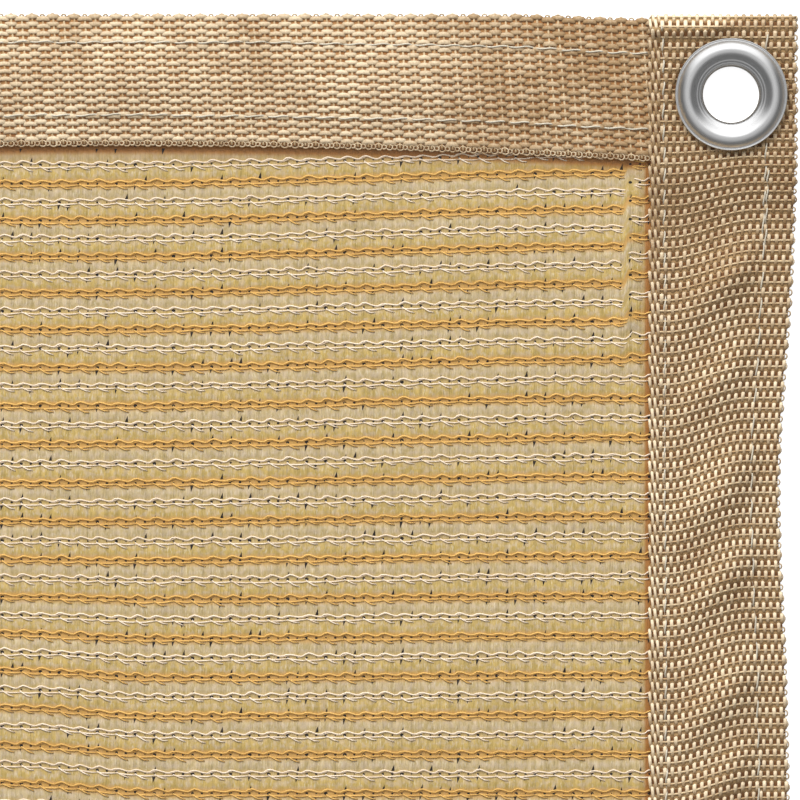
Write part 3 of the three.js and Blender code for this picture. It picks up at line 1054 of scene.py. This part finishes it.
def side_surface(a, b):
    """Side tape: a runs up the cloth and round the fold at each end, b from 0 at the inner edge to
    1 at the outer. Past the fold's centre the path is a half turn, then a flap underneath."""
    past = np.maximum(np.abs(a) - FOLD_CENTRE, 0)
    angle = np.clip(past / FOLD_RADIUS, 0, np.pi)
    flap = np.maximum(past - np.pi * FOLD_RADIUS, 0)
    run = np.clip(a, -FOLD_CENTRE, FOLD_CENTRE)
    skew_at = smoothstep(*SKEW_ACROSS, SIDE_INNER + SIDE_WIDTH * b)
    skew = SKEW * skew_at * (1 - smoothstep(*SKEW_ENDS, np.abs(run)))
    y = run + skew + np.sign(a) * (FOLD_RADIUS * np.sin(angle) - flap)
    x = SIDE_INNER + (side_outer(np.clip(y, -HALF, HALF)) - SIDE_INNER) * b
    drop = FOLD_RADIUS * (1 - np.cos(angle))
    return np.stack([x, y, side_height(x, run + skew) - drop], -1)


print("end of the flap, in mm:", side_surface(SIDE_REACH, 0.5).round(1))

# %% Places above a tape
STEP_ALONG, STEP_ACROSS = 0.05, 0.002
# Whether the cross product of a step along and a step across points up or down
top_surface.face, side_surface.face = 1.0, -1.0


def lifted(surface, a, b, height):
    """The place on a surface at (a, b), moved along its normal by height. The normal is the cross
    product of small steps across and along."""
    along = surface(a + STEP_ALONG, b) - surface(a - STEP_ALONG, b)
    across = surface(a, b + STEP_ACROSS) - surface(a, b - STEP_ACROSS)
    normal = np.cross(along, across)
    normal *= np.sign(surface.face)
    normal /= np.maximum(np.linalg.norm(normal, axis=-1, keepdims=True), NO_LENGTH)
    return surface(a, b) + normal * np.asarray(height)[..., None]


print("one mm above the top tape:", lifted(top_surface, np.zeros(1), np.array([0.5]), 1.0).round(2))

# %% [markdown]
# ## The weave of the tapes
# The webbing is a plain weave of thick warp yarns and a thin weft, one pick every 2.32 mm. Where a
# warp yarn passes over a pick it shows as a plump float, and where it dives the weft shows between
# two floats. Each float is a closed spindle, the weft is a low tube that runs from side to side, and
# a ground sheet closes the gaps. At both edges of the top tape and at the outer edge of a side tape
# the weft turns back in small loops. At a side tape's inner edge the last ends lie close and lean.

# %% Kinds of float
# Rings of a spindle from its lower end to its upper end: shares of the half length and half width,
# the height of the middle line above the tape, and a tint added to the tone. The tint is painted
# light and shade: ends are darker where a float dives into shade, and on the side tape the upper
# ends, which face the light, are lighter and the lower ends darker. The side tape is seen with plump
# upper ends.
TOP_FLOAT = {
    "station": [-1, -0.66, 0, 0.66, 1], "wide": [0, 0.92, 1, 0.92, 0],
    "tint": [-0.2, 0, 0.1, 0, -0.2], "level": [-0.4, -0.02, 0.1, -0.02, -0.4],
    "half": 1.74, "longer": 0.25, "width": 0.56, "bow": 0.46, "on": 0.0,
}
SIDE_FLOAT = {
    "station": [-1, -0.7, 0.0, 0.78, 1], "wide": [0, 0.95, 1.0, 1.0, 0],
    "tint": [-0.6, -0.5, 0.15, 0.4, 0.4], "level": [-0.4, -0.3, 0.06, 0.18, -0.1],
    "half": 1.4, "longer": 0.0, "width": 0.46, "bow": 0.0, "on": 0.12,
}
print("float lengths in mm:", 2 * TOP_FLOAT["half"], 2 * SIDE_FLOAT["half"])

# %% Faces of a spindle
RINGS_OF_FOUR = 3
RING_OF = np.array([0] + [1] * 4 + [2] * 4 + [3] * 4 + [4])
OVAL = np.radians([0, 50, 130, 180])


def spindle_faces(count, face):
    """Triangles of many spindles: a fan at each tip, and split quads between the rings of four.
    Point 0 is a tip, the rings start at 1, 5 and 9, and point 13 is the other tip. The triangles
    are turned over for a surface whose face is up."""
    faces = []
    for j in range(4):
        here, then = 1 + j, 1 + (j + 1) % 4
        faces.append([0, then, here])
        for step in (0, 4):
            faces.append([here + step, then + step, then + step + 4])
            faces.append([here + step, then + step + 4, here + step + 4])
        faces.append([here + 8, then + 8, 13])
    faces = np.array(faces)
    if face > 0:
        faces = faces[:, ::-1]
    return (np.arange(count)[:, None, None] * len(RING_OF) + faces).reshape(-1, 3)


print("triangles of a spindle:", len(spindle_faces(1, 1)))

# %% Spindles
TALL = 0.32
LENGTHS, WIDTHS, HEIGHTS, TONES = (0.93, 1.05), (0.92, 1.08), (0.85, 1.15), (0.34, 0.66)
CLOSE_LONGER, CLOSE_NARROWER, CLOSE_LEAN = 1.25, 0.85, 0.22


def make_spindles(surface, shape, a, b, bowed, close, own):
    """Closed spindles at (a, b): a tip, three rings of four points and a tip. A ring is half an oval,
    at 0, 50, 130 and 180 degrees. A bowed one arches outwards by bow (1 - station^2), and a close
    one, at the edge, is longer and leans."""
    each = (len(a), 1)
    bowed, close = bowed[:, None], close[:, None]
    across = np.concatenate([[0], np.tile(np.cos(OVAL), RINGS_OF_FOUR), [0]])
    rise = np.concatenate([[0], np.tile(np.sin(OVAL), RINGS_OF_FOUR), [0]])
    rows = (shape[key] for key in ("station", "wide", "level", "tint"))
    station, wide, level, tint = (np.array(row)[RING_OF] for row in rows)
    half = (shape["half"] + shape["longer"] * bowed) * own.uniform(*LENGTHS, each)
    half = half * np.where(close, CLOSE_LONGER, 1.0)
    width = shape["width"] * own.uniform(*WIDTHS, each) * np.where(close, CLOSE_NARROWER, 1.0)
    tall = TALL * own.uniform(*HEIGHTS, each)
    arch = bowed * shape["bow"] * (1 - station ** 2)
    local_b = across * wide * width + arch - CLOSE_LEAN * close * station
    along = a[:, None] + shape["on"] + station * half
    height = level + rise * np.sqrt(wide) * tall
    points = lifted(surface, along, b[:, None] + local_b / surface.width, height)
    # each float's random tone, plus the painted light and shade of its tint row
    tone = own.uniform(*TONES, each) + tint
    return points.reshape(-1, 3), spindle_faces(len(a), surface.face), tone.ravel()


print("points of a spindle:", len(RING_OF))

# %% Places of picks and warp ends
HOLE_CLEAR = 8.2
CLOSE_PITCH = 0.62
END_MARGIN = 1.0


def off_eyelets(place):
    """Distance of each place from the nearest eyelet's axis on the right side of the cloth."""
    x, y = place[..., 0] - EYELET[0], np.abs(place[..., 1]) - EYELET[1]
    return np.hypot(x, y)


def pick_places(reach, per_pick=1):
    """Even places along a tape, so many for each pick."""
    return np.arange(-reach + END_MARGIN, reach - END_MARGIN, WEFT_PITCH / per_pick)


def end_places(surface):
    """The warp ends' shares across a tape. The first ends of some tapes lie closer together."""
    tight = surface.close_ends * CLOSE_PITCH
    count = int((surface.width - tight) / WARP_PITCH)
    even = tight + (np.arange(count) + 0.5) * (surface.width - tight) / count
    close = (np.arange(surface.close_ends) + 0.5) * CLOSE_PITCH
    return np.concatenate([close, even]) / surface.width


print("picks on a side tape:", len(pick_places(SIDE_REACH)))

# %% Painted shade and light on the tapes
# how far across and along the painted shade grows towards each corner, and its strength
SHADE_ACROSS, SHADE_ALONG, CORNER_SHADE = (50, 105), (60, 115), 0.5
LIT_BEFORE, LIT_PAST, LIT_FADES = 0.6, 0.3, (131, 140)


def shaded(points):
    """Share of painted shade: the tapes are a little darker towards each corner, past x 60, than
    midway, as they turn away from the light there.
    """
    x, y = np.abs(points[:, 0]), np.abs(points[:, 1])
    return smoothstep(*SHADE_ACROSS, x) * smoothstep(*SHADE_ALONG, y)


def lit_end(points):
    """Share of the painted highlight on the strip between the turned end of a side tape and its crease,
    which faces the light.
    """
    x, y = np.abs(points[:, 0]), np.abs(points[:, 1])
    line = crease_line(x)
    fade = 1 - smoothstep(*LIT_FADES, x)
    return smoothstep(line - LIT_BEFORE, line + LIT_PAST, y) * fade * (x > SIDE_INNER)


# the share of painted shade at a corner
print("painted_shade at the corner:", shaded(np.array([[120.0, 120.0, 0]])))

# %% Floats on a tape
UNDER_FLANGE = 2.5
FLOAT_STRAYS = 0.07


def make_floats(name, surface, reach, own):
    """Floats where a warp passes over a pick: every second end on each pick, in turn."""
    picks, ends = pick_places(reach), end_places(surface)
    pick, end = np.meshgrid(np.arange(len(picks)), np.arange(len(ends)), indexing="ij")
    over = (pick + end) % 2 == 0
    a, b, bowed = picks[pick[over]], ends[end[over]], pick[over] % 2
    clear = off_eyelets(surface(a, b)) > FLANGE_RADIUS - UNDER_FLANGE
    clear &= b * surface.width > surface.bare_edge
    a, b, bowed = a[clear], b[clear], bowed[clear]
    a = a + own.normal(0, FLOAT_STRAYS, len(a))
    close = b * surface.width < surface.close_ends * CLOSE_PITCH
    points, faces, tone = make_spindles(surface, surface.float, a, b, bowed, close, own)
    # painted shade towards the corners, and a painted highlight on the strip at each turned end
    tone = tone - CORNER_SHADE * shaded(points) + lit_end(points)
    return make_mesh(f"{name}_warp", points, [faces], WARP, tone=tone)


print("floats keep", round(FLANGE_RADIUS - UNDER_FLANGE, 1), "mm from an eyelet's axis")

# %% Wefts
WEFT_SUNK, SUNK_BEFORE = -0.5, 1


def make_wefts(name, surface, reach, own):
    """Weft tubes of three sides, one ring for each warp end, high where the warp dives. Round the
    eyelets a tube sinks into the ground, and its faces over the hole are left out."""
    picks, ends = pick_places(reach), end_places(surface)
    first = max(surface.close_ends - 1, 0)
    over = (np.arange(len(picks))[:, None] + np.arange(first, len(ends))[None, :]) % 2 == 0
    ends = ends[first:]
    a = np.repeat(picks[:, None], len(ends), 1)
    b = np.repeat(ends[None, :], len(picks), 0)
    sunk = off_eyelets(surface(a, b)) < FLANGE_RADIUS - SUNK_BEFORE
    height = np.where(sunk, WEFT_SUNK, np.where(over, *surface.weft_heights))
    points = tubes(lifted(surface, a, b, height), surface.weft_radius, YARN_SIDES)
    faces, caps = closed_tubes(len(picks), len(ends), YARN_SIDES)
    faces = faces[off_eyelets(points[faces].mean(1)) > HOLE_CLEAR]
    # each pick's random tone, plus the painted highlight on the strip at each turned end
    tone = np.repeat(own.uniform(0, 1, len(picks)), len(ends) * YARN_SIDES) + lit_end(points)
    return make_mesh(f"{name}_weft", points, [faces, caps], WEFT, tone=tone)


print("wefts sink to", WEFT_SUNK, "mm under a flange")

# %% Edge loops
LOOP_STEPS = 10
LOOP_LONG, LOOP_TILT, LOOP_STRAYS = 1.15, 0.1, 0.06
LOOP_WIDTHS, LOOP_TONES = (0.92, 1.08), (0.2, 0.7)


def make_loops(name, surface, reach, own):
    """Edge loops: at an edge the weft turns round the last warp end in a small ring, wider on
    every second pick. Each ring is a tube round a circle in the tape's own plane, and its inner
    half dips under the ground where the weave hides it."""
    turn = 2 * np.pi * np.arange(LOOP_STEPS + 1) / LOOP_STEPS
    paths = []
    for loop in surface.loops:
        places = pick_places(reach, loop["per_pick"])
        each = (len(places), 1)
        wide = np.where(np.arange(len(places)) % 2 == 0, loop["large"], loop["small"])[:, None]
        wide = wide * own.uniform(*LOOP_WIDTHS, each)
        a = places[:, None] + LOOP_LONG * wide * np.cos(turn) + own.normal(0, LOOP_STRAYS, each)
        b = loop["edge"] + loop["inwards"] * (loop["away"] + wide * np.sin(turn)) / surface.width
        height = LOOP_TILT * np.cos(turn) - loop["dip"] * (0.5 + 0.5 * np.sin(turn)) + 0 * a
        paths.append(lifted(surface, a, b, height))
    paths = np.concatenate(paths)
    points = tubes(paths, surface.loop_radius, YARN_SIDES)
    faces = [tube_faces(len(paths), LOOP_STEPS + 1, YARN_SIDES)]
    tone = np.repeat(own.uniform(*LOOP_TONES, len(paths)), (LOOP_STEPS + 1) * YARN_SIDES)
    return make_mesh(f"{name}_loops", points, faces, WARP, tone=tone)


print("faces of an edge loop:", YARN_SIDES * LOOP_STEPS)

# %% [markdown]
# ## Ground and sewing
# Between the yarns of real webbing one sees more yarn. A thin sheet under the floats stands for it,
# and the material draws its dark gaps as painted shade and, on the back, a whole plain weave with
# painted shade between its floats, because nobody looks at the back from close by. Two rows of
# lockstitch hold each tape. Their thread is a real tube that rises over the tape at each stitch and
# dives between two, since it casts a shadow of its own.

# %% Ground sheets
GROUND_WALL = 0.24
GROUND_EDGE = 0.012  # share of the width that it leaves free


def make_ground(name, surface, reach):
    """The tape's ground: a grid on the surface, thickened by Solidify, open at the eyelets. UV
    counts picks along the tape and warp ends across it, for the weave at the back."""
    steps, across = surface.ground_grid
    a, b = np.linspace(-reach, reach, steps), np.linspace(GROUND_EDGE, 1 - GROUND_EDGE, across)
    grid_a, grid_b = np.meshgrid(a, b, indexing="ij")
    points = lifted(surface, grid_a, grid_b, surface.ground + 0 * grid_a).reshape(-1, 3)
    uv = [(grid_a + reach - END_MARGIN) / WEFT_PITCH, grid_b * surface.width / WARP_PITCH]
    faces = grid_faces(steps, across)
    if surface.face > 0:
        faces = faces[:, ::-1]
    faces = faces[off_eyelets(points[faces].mean(1)) > HOLE_CLEAR]
    piece = make_mesh(
        f"{name}_ground", points, [faces], surface.ground_yarn, uv=np.stack(uv, -1).reshape(-1, 2))
    piece.data.materials.append(BACK)
    wall = piece.modifiers.new("wall", "SOLIDIFY")
    wall.thickness = GROUND_WALL * MM
    wall.offset = 0
    wall.material_offset = 1
    return piece


print("ground sheets are", GROUND_WALL, "mm thick")

# %% Sewing threads
THREAD_RADIUS, THREAD_STEP, THREAD_SIDES = 0.2, 0.6, 4
THREAD_RISE, THREAD_DEEP, THREAD_SUNK = 0.78, 0.4, 0.8
THREAD_SIDEWAYS, THREAD_SOFT, THREAD_SLIPS = 0.16, 0.4, 0.06
SLIP_STEP, SWAY_STEP = 17.0, 9.0


def make_threads(name, surface, reach):
    """Sewing rows along a tape. A stitch lies 0.38 mm above the tape's middle where the cosine of
    its count is over a bound, which sets the share that shows, and 0.4 mm below where it isn't."""
    points, faces, shift = [], [], 0
    for k, row in enumerate(surface.rows):
        a = np.arange(max(row["from"], -reach), min(row["to"], reach), THREAD_STEP)
        count = a / row["stitch"] + THREAD_SLIPS * wander(a, SLIP_STEP, 40 + k) + row["phase"]
        bound = np.cos(np.pi * row["shown"])
        up = smoothstep(bound - THREAD_SOFT, bound + THREAD_SOFT, np.cos(2 * np.pi * count))
        side = THREAD_SIDEWAYS * np.sin(2 * np.pi * count)
        side = side + THREAD_SIDEWAYS * wander(a, SWAY_STEP, 60 + k)
        b = row["b"] + row["bow"] * (a / HALF) ** 2 + side / surface.width
        path = lifted(surface, a, b, THREAD_RISE * up - THREAD_DEEP)
        path[off_eyelets(path) < FLANGE_RADIUS - SUNK_BEFORE, 2] -= THREAD_SUNK
        points.append(tubes(path[None], THREAD_RADIUS, THREAD_SIDES))
        faces += closed_tubes(1, len(a), THREAD_SIDES, shift)
        shift += len(points[-1])
    points = np.vstack(points)
    return make_mesh(f"{name}_thread", points, faces, THREAD, tone=np.full(len(points), 0.5))


print("sewing thread:", 2 * THREAD_RADIUS, "mm thick")

# %% [markdown]
# ## All four tapes
# Only two tapes are modelled. The cloth looks the same when it is turned half round, so the tapes
# on the left and at the bottom are turned copies. One table holds all that differs between a top
# tape and a side tape, and one loop builds both kinds.

# %% Turn a tape half round for the opposite edge
HALF_ROUND = ((-1, 0, 0, 0), (0, -1, 0, 0), (0, 0, 1, 0), (0, 0, 0, 1))


def turned_copy(piece, name):
    """The same piece turned half round about Z: x and y change sign, so faces keep their side."""
    mesh = piece.data.copy()
    mesh.transform(HALF_ROUND)
    made = bpy.data.objects.new(name, mesh)
    bpy.context.scene.collection.objects.link(made)
    for old in piece.modifiers:
        new = made.modifiers.new(old.name, old.type)
        for setting in ("thickness", "offset", "material_offset"):
            setattr(new, setting, getattr(old, setting))
    return made


print("the opposite tapes are turned copies")

# %% What differs between the tapes
# A loop: the edge it is on, the way inwards, how many for a pick, large and small radius, the
# middle's distance from the edge, and the dip. A row of sewing: its place across the tape and how
# far it bows, where it runs, and a stitch's length, the share that shows and its start. The first
# close_ends warp ends lie close together, and bare_edge is a width at the inner edge without floats.
LOOP_KEYS = ("edge", "inwards", "per_pick", "large", "small", "away", "dip")
ROW_KEYS = ("b", "bow", "from", "to", "stitch", "shown", "phase")
DIFFERENCES = {
    top_surface: {
        "width": TOP_WIDTH, "float": TOP_FLOAT, "close_ends": 0, "bare_edge": 1.2,
        "weft_radius": 0.5, "weft_heights": (-0.3, -0.2), "loop_radius": 0.22,
        "ground": -0.26, "ground_yarn": TOP_GROUND, "ground_grid": (70, 14),
        "loops": [(0.0, 1, 2, 0.66, 0.44, 0.62, 0.0), (1.0, -1, 1, 0.5, 0.4, 0.3, 0.5)],
        "rows": [(0.79, -0.06, -118, 118, 5.3, 0.85, 0.0), (0.235, -0.02, -118, 118, 5.3, 0.85, 0.4)],
    },
    side_surface: {
        "width": SIDE_WIDTH, "float": SIDE_FLOAT, "close_ends": 4, "bare_edge": 0.0,
        "weft_radius": 0.3, "weft_heights": (-0.02, 0.02), "loop_radius": 0.2,
        "ground": -0.36, "ground_yarn": SIDE_GROUND, "ground_grid": (210, 26),
        "loops": [(1.0, -1, 1, 0.64, 0.52, 0.36, 0.6)],
        "rows": [(0.124, -0.034, -147, 147, 4.74, 0.5, 0.0), (0.785, 0.012, -147, 147, 6.3, 0.56, 0.3),
                 (0.802, 0.012, 94, 113, 5.0, 0.7, 0.8)],
    },
}
for surface, values in DIFFERENCES.items():
    for key, value in values.items():
        setattr(surface, key, value)
    surface.loops = [dict(zip(LOOP_KEYS, loop)) for loop in surface.loops]
    surface.rows = [dict(zip(ROW_KEYS, row)) for row in surface.rows]
    print(surface.__name__, "has", len(end_places(surface)), "warp ends")

# %% Build the tapes
for name, opposite, surface, reach in (
    ("top_tape", "bottom_tape", top_surface, TOP_END - 1.0),
    ("right_tape", "left_tape", side_surface, SIDE_REACH),
):
    own = np.random.default_rng(len(name))
    made = [make_ground(name, surface, reach)]
    made += [make(name, surface, reach, own) for make in (make_floats, make_wefts, make_loops)]
    made.append(make_threads(name, surface, reach))
    turned = [turned_copy(p, p.name.replace(name, opposite)) for p in made]
    for side, parts in ((name, made), (opposite, turned)):
        for part in parts:
            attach(part, "root")
        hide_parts(side)
        2 * reach * MM
    print(name, [(p.name, triangles(p)) for p in made])

# %% [markdown]
# ## The eyelets
# An eyelet is two pressed rings. The front one has a rounded flange and a barrel, and the barrel's
# end is rolled over the washer at the back. A lathe profile gives both: a list of radius and height
# turned about the axis, with smooth rounds between the few points that set the shape.

# %% Steel


def make_steel():
    """Bright pressed steel: metal with rings of fine roughness about each eyelet's own axis. U goes
    round the ring and V along the profile, so noise that is squeezed in V draws rings."""
    values = {"Metallic": 1.0, "Base Color": srgb(214, 214, 214)}
    material, tree = start_material("eyelet_steel", values)
    squeeze = (2.0, 60.0, 1.0)
    place = field(tree, "ShaderNodeMapping", 0, {0: cloth_uv(tree), 3: squeeze})
    rings = noise(place, 3.0, detail=4.0)
    paint(tree, rings.scaled(0.2, 0.2), "Roughness")
    press_relief(rings, strength=0.35, depth=0.00006)
    return material


STEEL = make_steel()
print("steel nodes:", len(STEEL.node_tree.nodes))

# %% Lathe


def rounded_profile(corners, per_span):
    """A closed profile through the corners: a Catmull-Rom curve, which passes through each one."""
    p = np.array(corners, float)
    before, after, later = np.roll(p, 1, 0), np.roll(p, -1, 0), np.roll(p, -2, 0)
    t = (np.arange(per_span) / per_span)[None, :, None]
    curve = 0.5 * (
        2 * p[:, None] + (after - before)[:, None] * t
        + (2 * before - 5 * p + 4 * after - later)[:, None] * t ** 2
        + (3 * p - before - 3 * after + later)[:, None] * t ** 3
    )
    return curve.reshape(-1, 2)


def ring_faces(segments, count):
    """Quads of a ring of closed profiles, joined to the first one at the end of the turn."""
    i, j = np.meshgrid(np.arange(segments), np.arange(count), indexing="ij")

    def at(ring, step):
        return (ring % segments) * count + step % count

    faces = np.stack([at(i, j), at(i, j + 1), at(i + 1, j + 1), at(i + 1, j)], -1).reshape(-1, 4)
    return faces[:, ::-1]


def make_ring(name, corners, centre, per_span, segments=72):
    """The profile turned about a vertical axis at centre: x = r cos, y = r sin."""
    profile = rounded_profile(corners, per_span)
    angle = 2 * np.pi * np.arange(segments)[:, None] / segments
    radius, height = profile[None, :, 0], profile[None, :, 1]
    points = np.stack([
        centre[0] + radius * np.cos(angle),
        centre[1] + radius * np.sin(angle),
        height + 0 * angle], -1).reshape(-1, 3)
    count = len(profile)
    share = np.broadcast_to(np.arange(count)[None, :] / count, (segments, count))
    turn = np.broadcast_to(np.abs(angle / np.pi - 1), (segments, count))
    uv = np.stack([turn, share], -1).reshape(-1, 2)
    return make_mesh(name, points, [ring_faces(segments, count)], STEEL, uv=uv)


print("points of a rounded square:", len(rounded_profile([(1, 0), (2, 0), (2, 1), (1, 1)], 4)))

# %% Profiles of the rings
SEAT = TAPE_ON_TAPE + TAPE_THICKNESS / 2 + LAYER_GAP
# Radius, and height above the tape, from the flange's edge over its round into the barrel
FLANGE = [
    (12.3, 0), (12.4, 0.35), (12.34, 0.64), (12.2, 0.68), (11.95, 0.52), (11.7, 0.9), (11.15, 1.5),
    (10.4, 1.98), (9.6, 2.14), (8.9, 1.9), (8.2, 1.38), (7.6, 0.92), (7.5, 0.9), (7.0, 0.5),
    (6.9, 0.48), (6.5, 0.1), (6.28, -0.4), (6.2, -1.4),
]
# Radius, and height above the lowest point, of the end that is rolled over the washer
ROLL = [
    (6.2, 0.9), (6.5, 0.25), (7.2, 0.02), (8.0, 0.2), (8.5, 0.8), (8.3, 1.15), (8.0, 0.9), (7.3, 0.6),
    (6.8, 1.0),
]
# The hidden side of the sheet, back from the barrel to the flange's edge
INSIDE = [
    (6.8, -1.6), (7.0, -0.5), (7.8, 0.5), (8.8, 1.4), (9.8, 1.65), (10.8, 1.3), (11.6, 0.5), (11.9, 0),
]
FRONT = [(r, SEAT + z) for r, z in FLANGE] + ROLL + [(r, SEAT + z) for r, z in INSIDE]
WASHER_HOLE, WASHER_ROUND, BORE_ROUND = 7.2, 0.3, 0.1
WASHER = [
    (WASHER_RADIUS - WASHER_ROUND, WASHER_BOTTOM), (WASHER_RADIUS, WASHER_BOTTOM + WASHER_ROUND),
    (WASHER_RADIUS, WASHER_TOP - WASHER_ROUND), (WASHER_RADIUS - WASHER_ROUND, WASHER_TOP),
    (WASHER_HOLE + BORE_ROUND, WASHER_TOP), (WASHER_HOLE, WASHER_TOP - BORE_ROUND),
    (WASHER_HOLE, WASHER_BOTTOM + BORE_ROUND), (WASHER_HOLE + BORE_ROUND, WASHER_BOTTOM),
]
print("eyelet height:", round(max(z for r, z in FRONT) - min(z for r, z in FRONT), 2), "mm")

# %% Eyelets at the corners
for corner, sx, sy in (("top_right", 1, 1), ("top_left", -1, 1),
                       ("bottom_left", -1, -1), ("bottom_right", 1, -1)):
    centre = EYELET * np.array([sx, sy])
    for kind, profile, span in (("eyelet", FRONT, 2), ("washer", WASHER, 1)):
        ring = make_ring(f"{kind}_{corner}_ring", profile, centre, span)
        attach(ring, "root")
        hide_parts(f"{kind}_{corner}")
        print(ring.name, "triangles:", triangles(ring))

# %% [markdown]
# ## Floor, light and camera
# The cloth lies on white. One square lamp stands past the head of the cloth, a little to the left,
# as the shaded lower sides of the yarns tell. The room is bright from above and towards a window at
# the head of the cloth, and the steel mirrors that window and not the lamp. The camera is far away
# with a long lens, square above the cloth's corner.

# %% Floor
FLOOR_HALF = 3000.0
FLOOR_DROP = 0.02
FLOOR_GLOW = 0.7


def make_floor_material():
    """White to the camera, and to everything else a dim warm grey, so that little light comes back
    up through the cloth's gaps."""
    values = {"Emission Color": (1, 1, 1, 1), "Roughness": 0.9}
    material, tree = start_material("floor_white", values)
    seen = field(tree, "ShaderNodeLightPath", "Is Camera Ray")
    paint(tree, blend(seen, (0.3, 0.27, 0.23, 1), (0.95, 0.95, 0.95, 1)))
    paint(tree, seen * FLOOR_GLOW, "Emission Strength")
    return material


corners = np.array([[-1, -1, 0], [1, -1, 0], [1, 1, 0], [-1, 1, 0]]) * FLOOR_HALF
corners = corners - [0, 0, FLOOR_DROP]
floor = make_mesh("floor", corners, [np.array([[0, 1, 2, 3]])], make_floor_material())
floor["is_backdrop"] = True
print("floor size:", floor.dimensions[:2])

# %% Window light
WINDOW = Vector((-0.06, 0.9, 0.3)).normalized()
WINDOW_EDGE, WINDOW_FULL, WINDOW_BRIGHT = 0.42, 0.97, 1.6
ABOVE_FROM, ABOVE_LEAST, ABOVE_MOST = 0.4, 0.17, 0.72


def make_world():
    """The room: dim at its foot, and bright towards one window past the head of the cloth.
    Brightness is a smooth step of the direction's part along the window's, and more from above."""
    world = bpy.data.worlds.new("studio")
    world.use_nodes = True
    tree = world.node_tree
    way = field(tree, "ShaderNodeTexCoord", "Generated")
    part = field(tree, "ShaderNodeVectorMath", "Value", {0: way, 1: WINDOW}, operation="DOT_PRODUCT")
    soft = {"interpolation_type": "SMOOTHSTEP"}
    window = ramp(part, WINDOW_EDGE, WINDOW_FULL, 0.0, WINDOW_BRIGHT, **soft)
    above = ramp(split(way)[2], ABOVE_FROM, 1.0, ABOVE_LEAST, ABOVE_MOST, **soft)
    sky = tree.nodes["Background"]
    sky.inputs["Color"].default_value = (1, 1, 1, 1)
    tree.links.new((window + above).socket, sky.inputs["Strength"])
    return world


bpy.context.scene.world = make_world()
bpy.context.scene.view_settings.view_transform = "Standard"
print("window towards", [round(part, 2) for part in WINDOW])

# %% Lamp
LAMP_PLACE, LAMP_SIZE, LAMP_POWER = Vector((-0.7, 1.9, 1.5)), 0.9, 50


def make_area(name, place, size, power):
    """A square area light at a place, turned to face the middle, in metres and watts. Bright metal
    doesn't mirror it, so that the steel shows the room's soft window alone."""
    light = bpy.data.lights.new(name, "AREA")
    light.size = size
    light.energy = power
    lamp = bpy.data.objects.new(name, light)
    lamp.location = place
    lamp.visible_glossy = False
    lamp.rotation_mode = "QUATERNION"
    lamp.rotation_quaternion = (-place).to_track_quat("-Z", "Y")
    bpy.context.scene.collection.objects.link(lamp)
    return lamp


make_area("key", LAMP_PLACE, LAMP_SIZE, LAMP_POWER)
print("lamp", round(LAMP_PLACE.length, 2), "m from the middle")

# %% Camera
PHOTO_SIDE = 800
PIXELS_PER_MM = 4.53
PHOTO_RIGHT_EDGE = 796
PHOTO_TOP_EDGE = 11
SENSOR = 36
CAMERA_HEIGHT = 2.5
view_x = HALF - (PHOTO_RIGHT_EDGE - PHOTO_SIDE / 2) / PIXELS_PER_MM
view_y = HALF + (PHOTO_TOP_EDGE - PHOTO_SIDE / 2) / PIXELS_PER_MM
view_width = PHOTO_SIDE / PIXELS_PER_MM * MM
camera_data = bpy.data.cameras.new("camera")
camera_data.sensor_width = SENSOR
camera_data.lens = SENSOR * CAMERA_HEIGHT / view_width
camera = bpy.data.objects.new("camera", camera_data)
camera.location = (view_x * MM, view_y * MM, CAMERA_HEIGHT)
bpy.context.scene.collection.objects.link(camera)
bpy.context.scene.camera = camera
print(f"camera over {view_x:.1f}, {view_y:.1f} mm with a lens of {camera_data.lens:.0f} mm")

# %% Finish
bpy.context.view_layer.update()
total = sum(triangles(p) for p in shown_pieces())
print("triangles before modifiers:", total)
